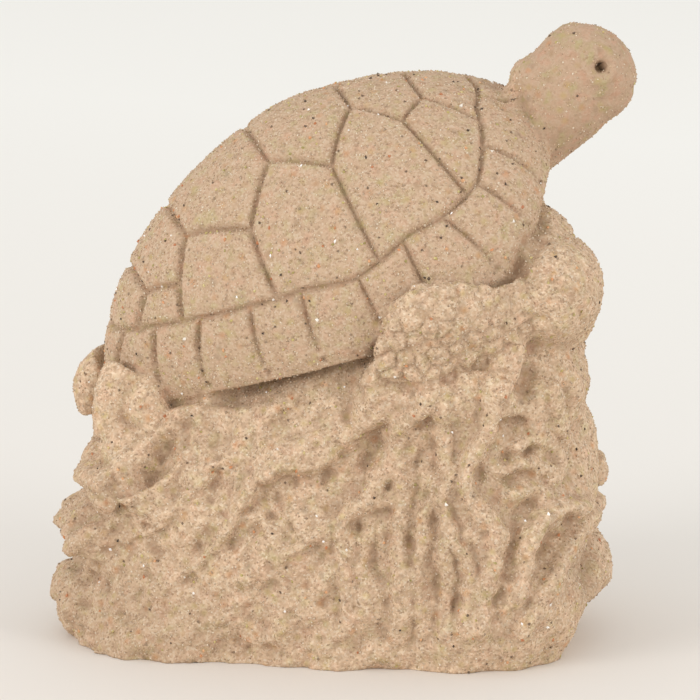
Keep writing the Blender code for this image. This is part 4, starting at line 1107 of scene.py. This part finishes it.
# Name, grains per square millimetre, width in millimetres, roughness, colours from dark to light.
# Washed quartz is glassy and nearly clear; iron stains some of it honey. Feldspar is dull and buff.
# Dark grains are ilmenite and mica, red ones jasper, green ones olivine; shell chips are chalk white.
GRAINS = (
    ("clear_quartz", 1.7, 0.3, 0.4, ("ad9a82", "cbb79d", "ddcfba")),
    ("honey_quartz", 1.7, 0.3, 0.45, ("a98d6c", "c3a887", "d2ba9b")),
    ("buff_feldspar", 1.7, 0.32, 0.75, ("9d846c", "ba9c83", "ccb299")),
    ("dark_mineral", 0.1, 0.44, 0.7, ("44352a", "715d4a", "98826a")),
    ("red_jasper", 0.04, 0.5, 0.6, ("b0704c", "cb8c60", "d9ab80")),
    ("olivine", 0.08, 0.44, 0.5, ("9c9058", "b8a868", "cbbb84")),
    ("shell_chip", 0.006, 0.55, 0.6, ("e2dace", "f1ece4", "fbf9f5")),
    # These grains are quartz painted white as painted glints, and glossy, so that they also catch real
    # highlights.
    ("painted_glint_quartz", 0.014, 0.42, 0.15, ("e8e2d8", "f4f0ea", "ffffff")),
)
strewn_grains = grain_tree()
for seed, (name, crowd, across, roughness, colours) in enumerate(GRAINS):
    material, tree = new_material(name)
    colour = ramp(tree, stored(tree, "tone"), tuple(zip((0.0, 0.5, 1.0), colours)))
    finish(tree, {"Base Color": colour, "Roughness": roughness})
    grains = bpy.data.objects.new(name + "_grains", casting.data)
    bpy.context.scene.collection.objects.link(grains)
    strewing = grains.modifiers.new("strewn_grains", "NODES")
    strewing.node_group = strewn_grains
    wanted = {
        "Per Square Metre": crowd * 1e6,
        "Across": across * MILLIMETRE,
        "Seed": seed,
        "Grain Material": material,
    }
    for socket in strewn_grains.interface.items_tree:
        if socket.name in wanted:
            strewing[socket.identifier] = wanted[socket.name]
    applied(grains)
    grains.data.name = grains.name
    grain_map(grains.data)
    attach(grains, "root")

# --- Studio ----------------------------------------------------------------------------------
# A pale seamless floor of matt paper, two large soft lights in front, to the left and to the
# right, and even fill all round.
FLOOR_GAP = 0.00005  # metres
CAMERA_DISTANCE = 0.45  # metres

bpy.ops.mesh.primitive_grid_add(x_subdivisions=2, y_subdivisions=2, size=6.0, location=(0.0, 0.0, 0.0))
floor = put(bpy.context.object, Matrix.Translation((0.0, 0.0, low.z - FLOOR_GAP)))
floor.name = "floor"
paper, tree = new_material("matt_paper")
place = add_node(tree, "ShaderNodeTexCoord")
depth = add_node(tree, "ShaderNodeSeparateXYZ", {"Vector": place.outputs["Object"]})
# Painted shade: the paper is painted a little darker towards the front and the left, and paler far behind.
slant = add_node(
    tree, "ShaderNodeMath", {0: depth.outputs["X"], 1: 0.6, 2: depth.outputs["Y"]}, operation="MULTIPLY_ADD"
)
sweep = add_node(tree, "ShaderNodeMapRange", {"Value": slant.outputs[0], "From Min": -0.05, "From Max": 0.5})
tone = ramp(tree, sweep.outputs[0], ((0.0, "eae5df"), (0.3, "eae7e2"), (1.0, "f2f1ed")))
finish(tree, {"Base Color": tone, "Roughness": 0.95, "Specular IOR Level": 0.1})
floor.data.materials.append(paper)

world = bpy.data.worlds.new("studio")
bpy.context.scene.world = world
world.use_nodes = True
fill = world.node_tree.nodes["Background"].inputs
fill["Color"].default_value = linear("fdfcfa")
fill["Strength"].default_value = 0.91


def soft_light(name, place, size, power):
    """A round soft light turned towards the turtle."""
    data = bpy.data.lights.new(name, "AREA")
    data.shape = "DISK"
    data.size = size
    data.energy = power
    lamp = bpy.data.objects.new(name, data)
    lamp.location = place
    lamp.rotation_euler = (Vector((0.0, 0.0, 0.04)) - lamp.location).to_track_quat("-Z", "Y").to_euler()
    bpy.context.scene.collection.objects.link(lamp)


soft_light("left", Vector((-1.6, -1.15, 0.58)), 1.0, 16.5)
soft_light("right", Vector((1.6, -1.15, 0.58)), 1.0, 11.8)

camera = bpy.data.objects.new("camera", bpy.data.cameras.new("camera"))
bpy.context.scene.collection.objects.link(camera)
look_at = (cad_box[0] + cad_box[1]) / 2.0 + Vector((0.00129, -0.00051, -0.00248))
tip_down = math.radians(11.0)
camera.location = look_at + CAMERA_DISTANCE * Vector((0.0, -math.cos(tip_down), math.sin(tip_down)))
camera.rotation_euler = (look_at - camera.location).to_track_quat("-Z", "Y").to_euler()
camera.data.sensor_width = 36.0
camera.data.lens = 187.5
camera.data.clip_end = 20.0
bpy.context.scene.camera = camera
bpy.context.scene.view_settings.view_transform = "Standard"
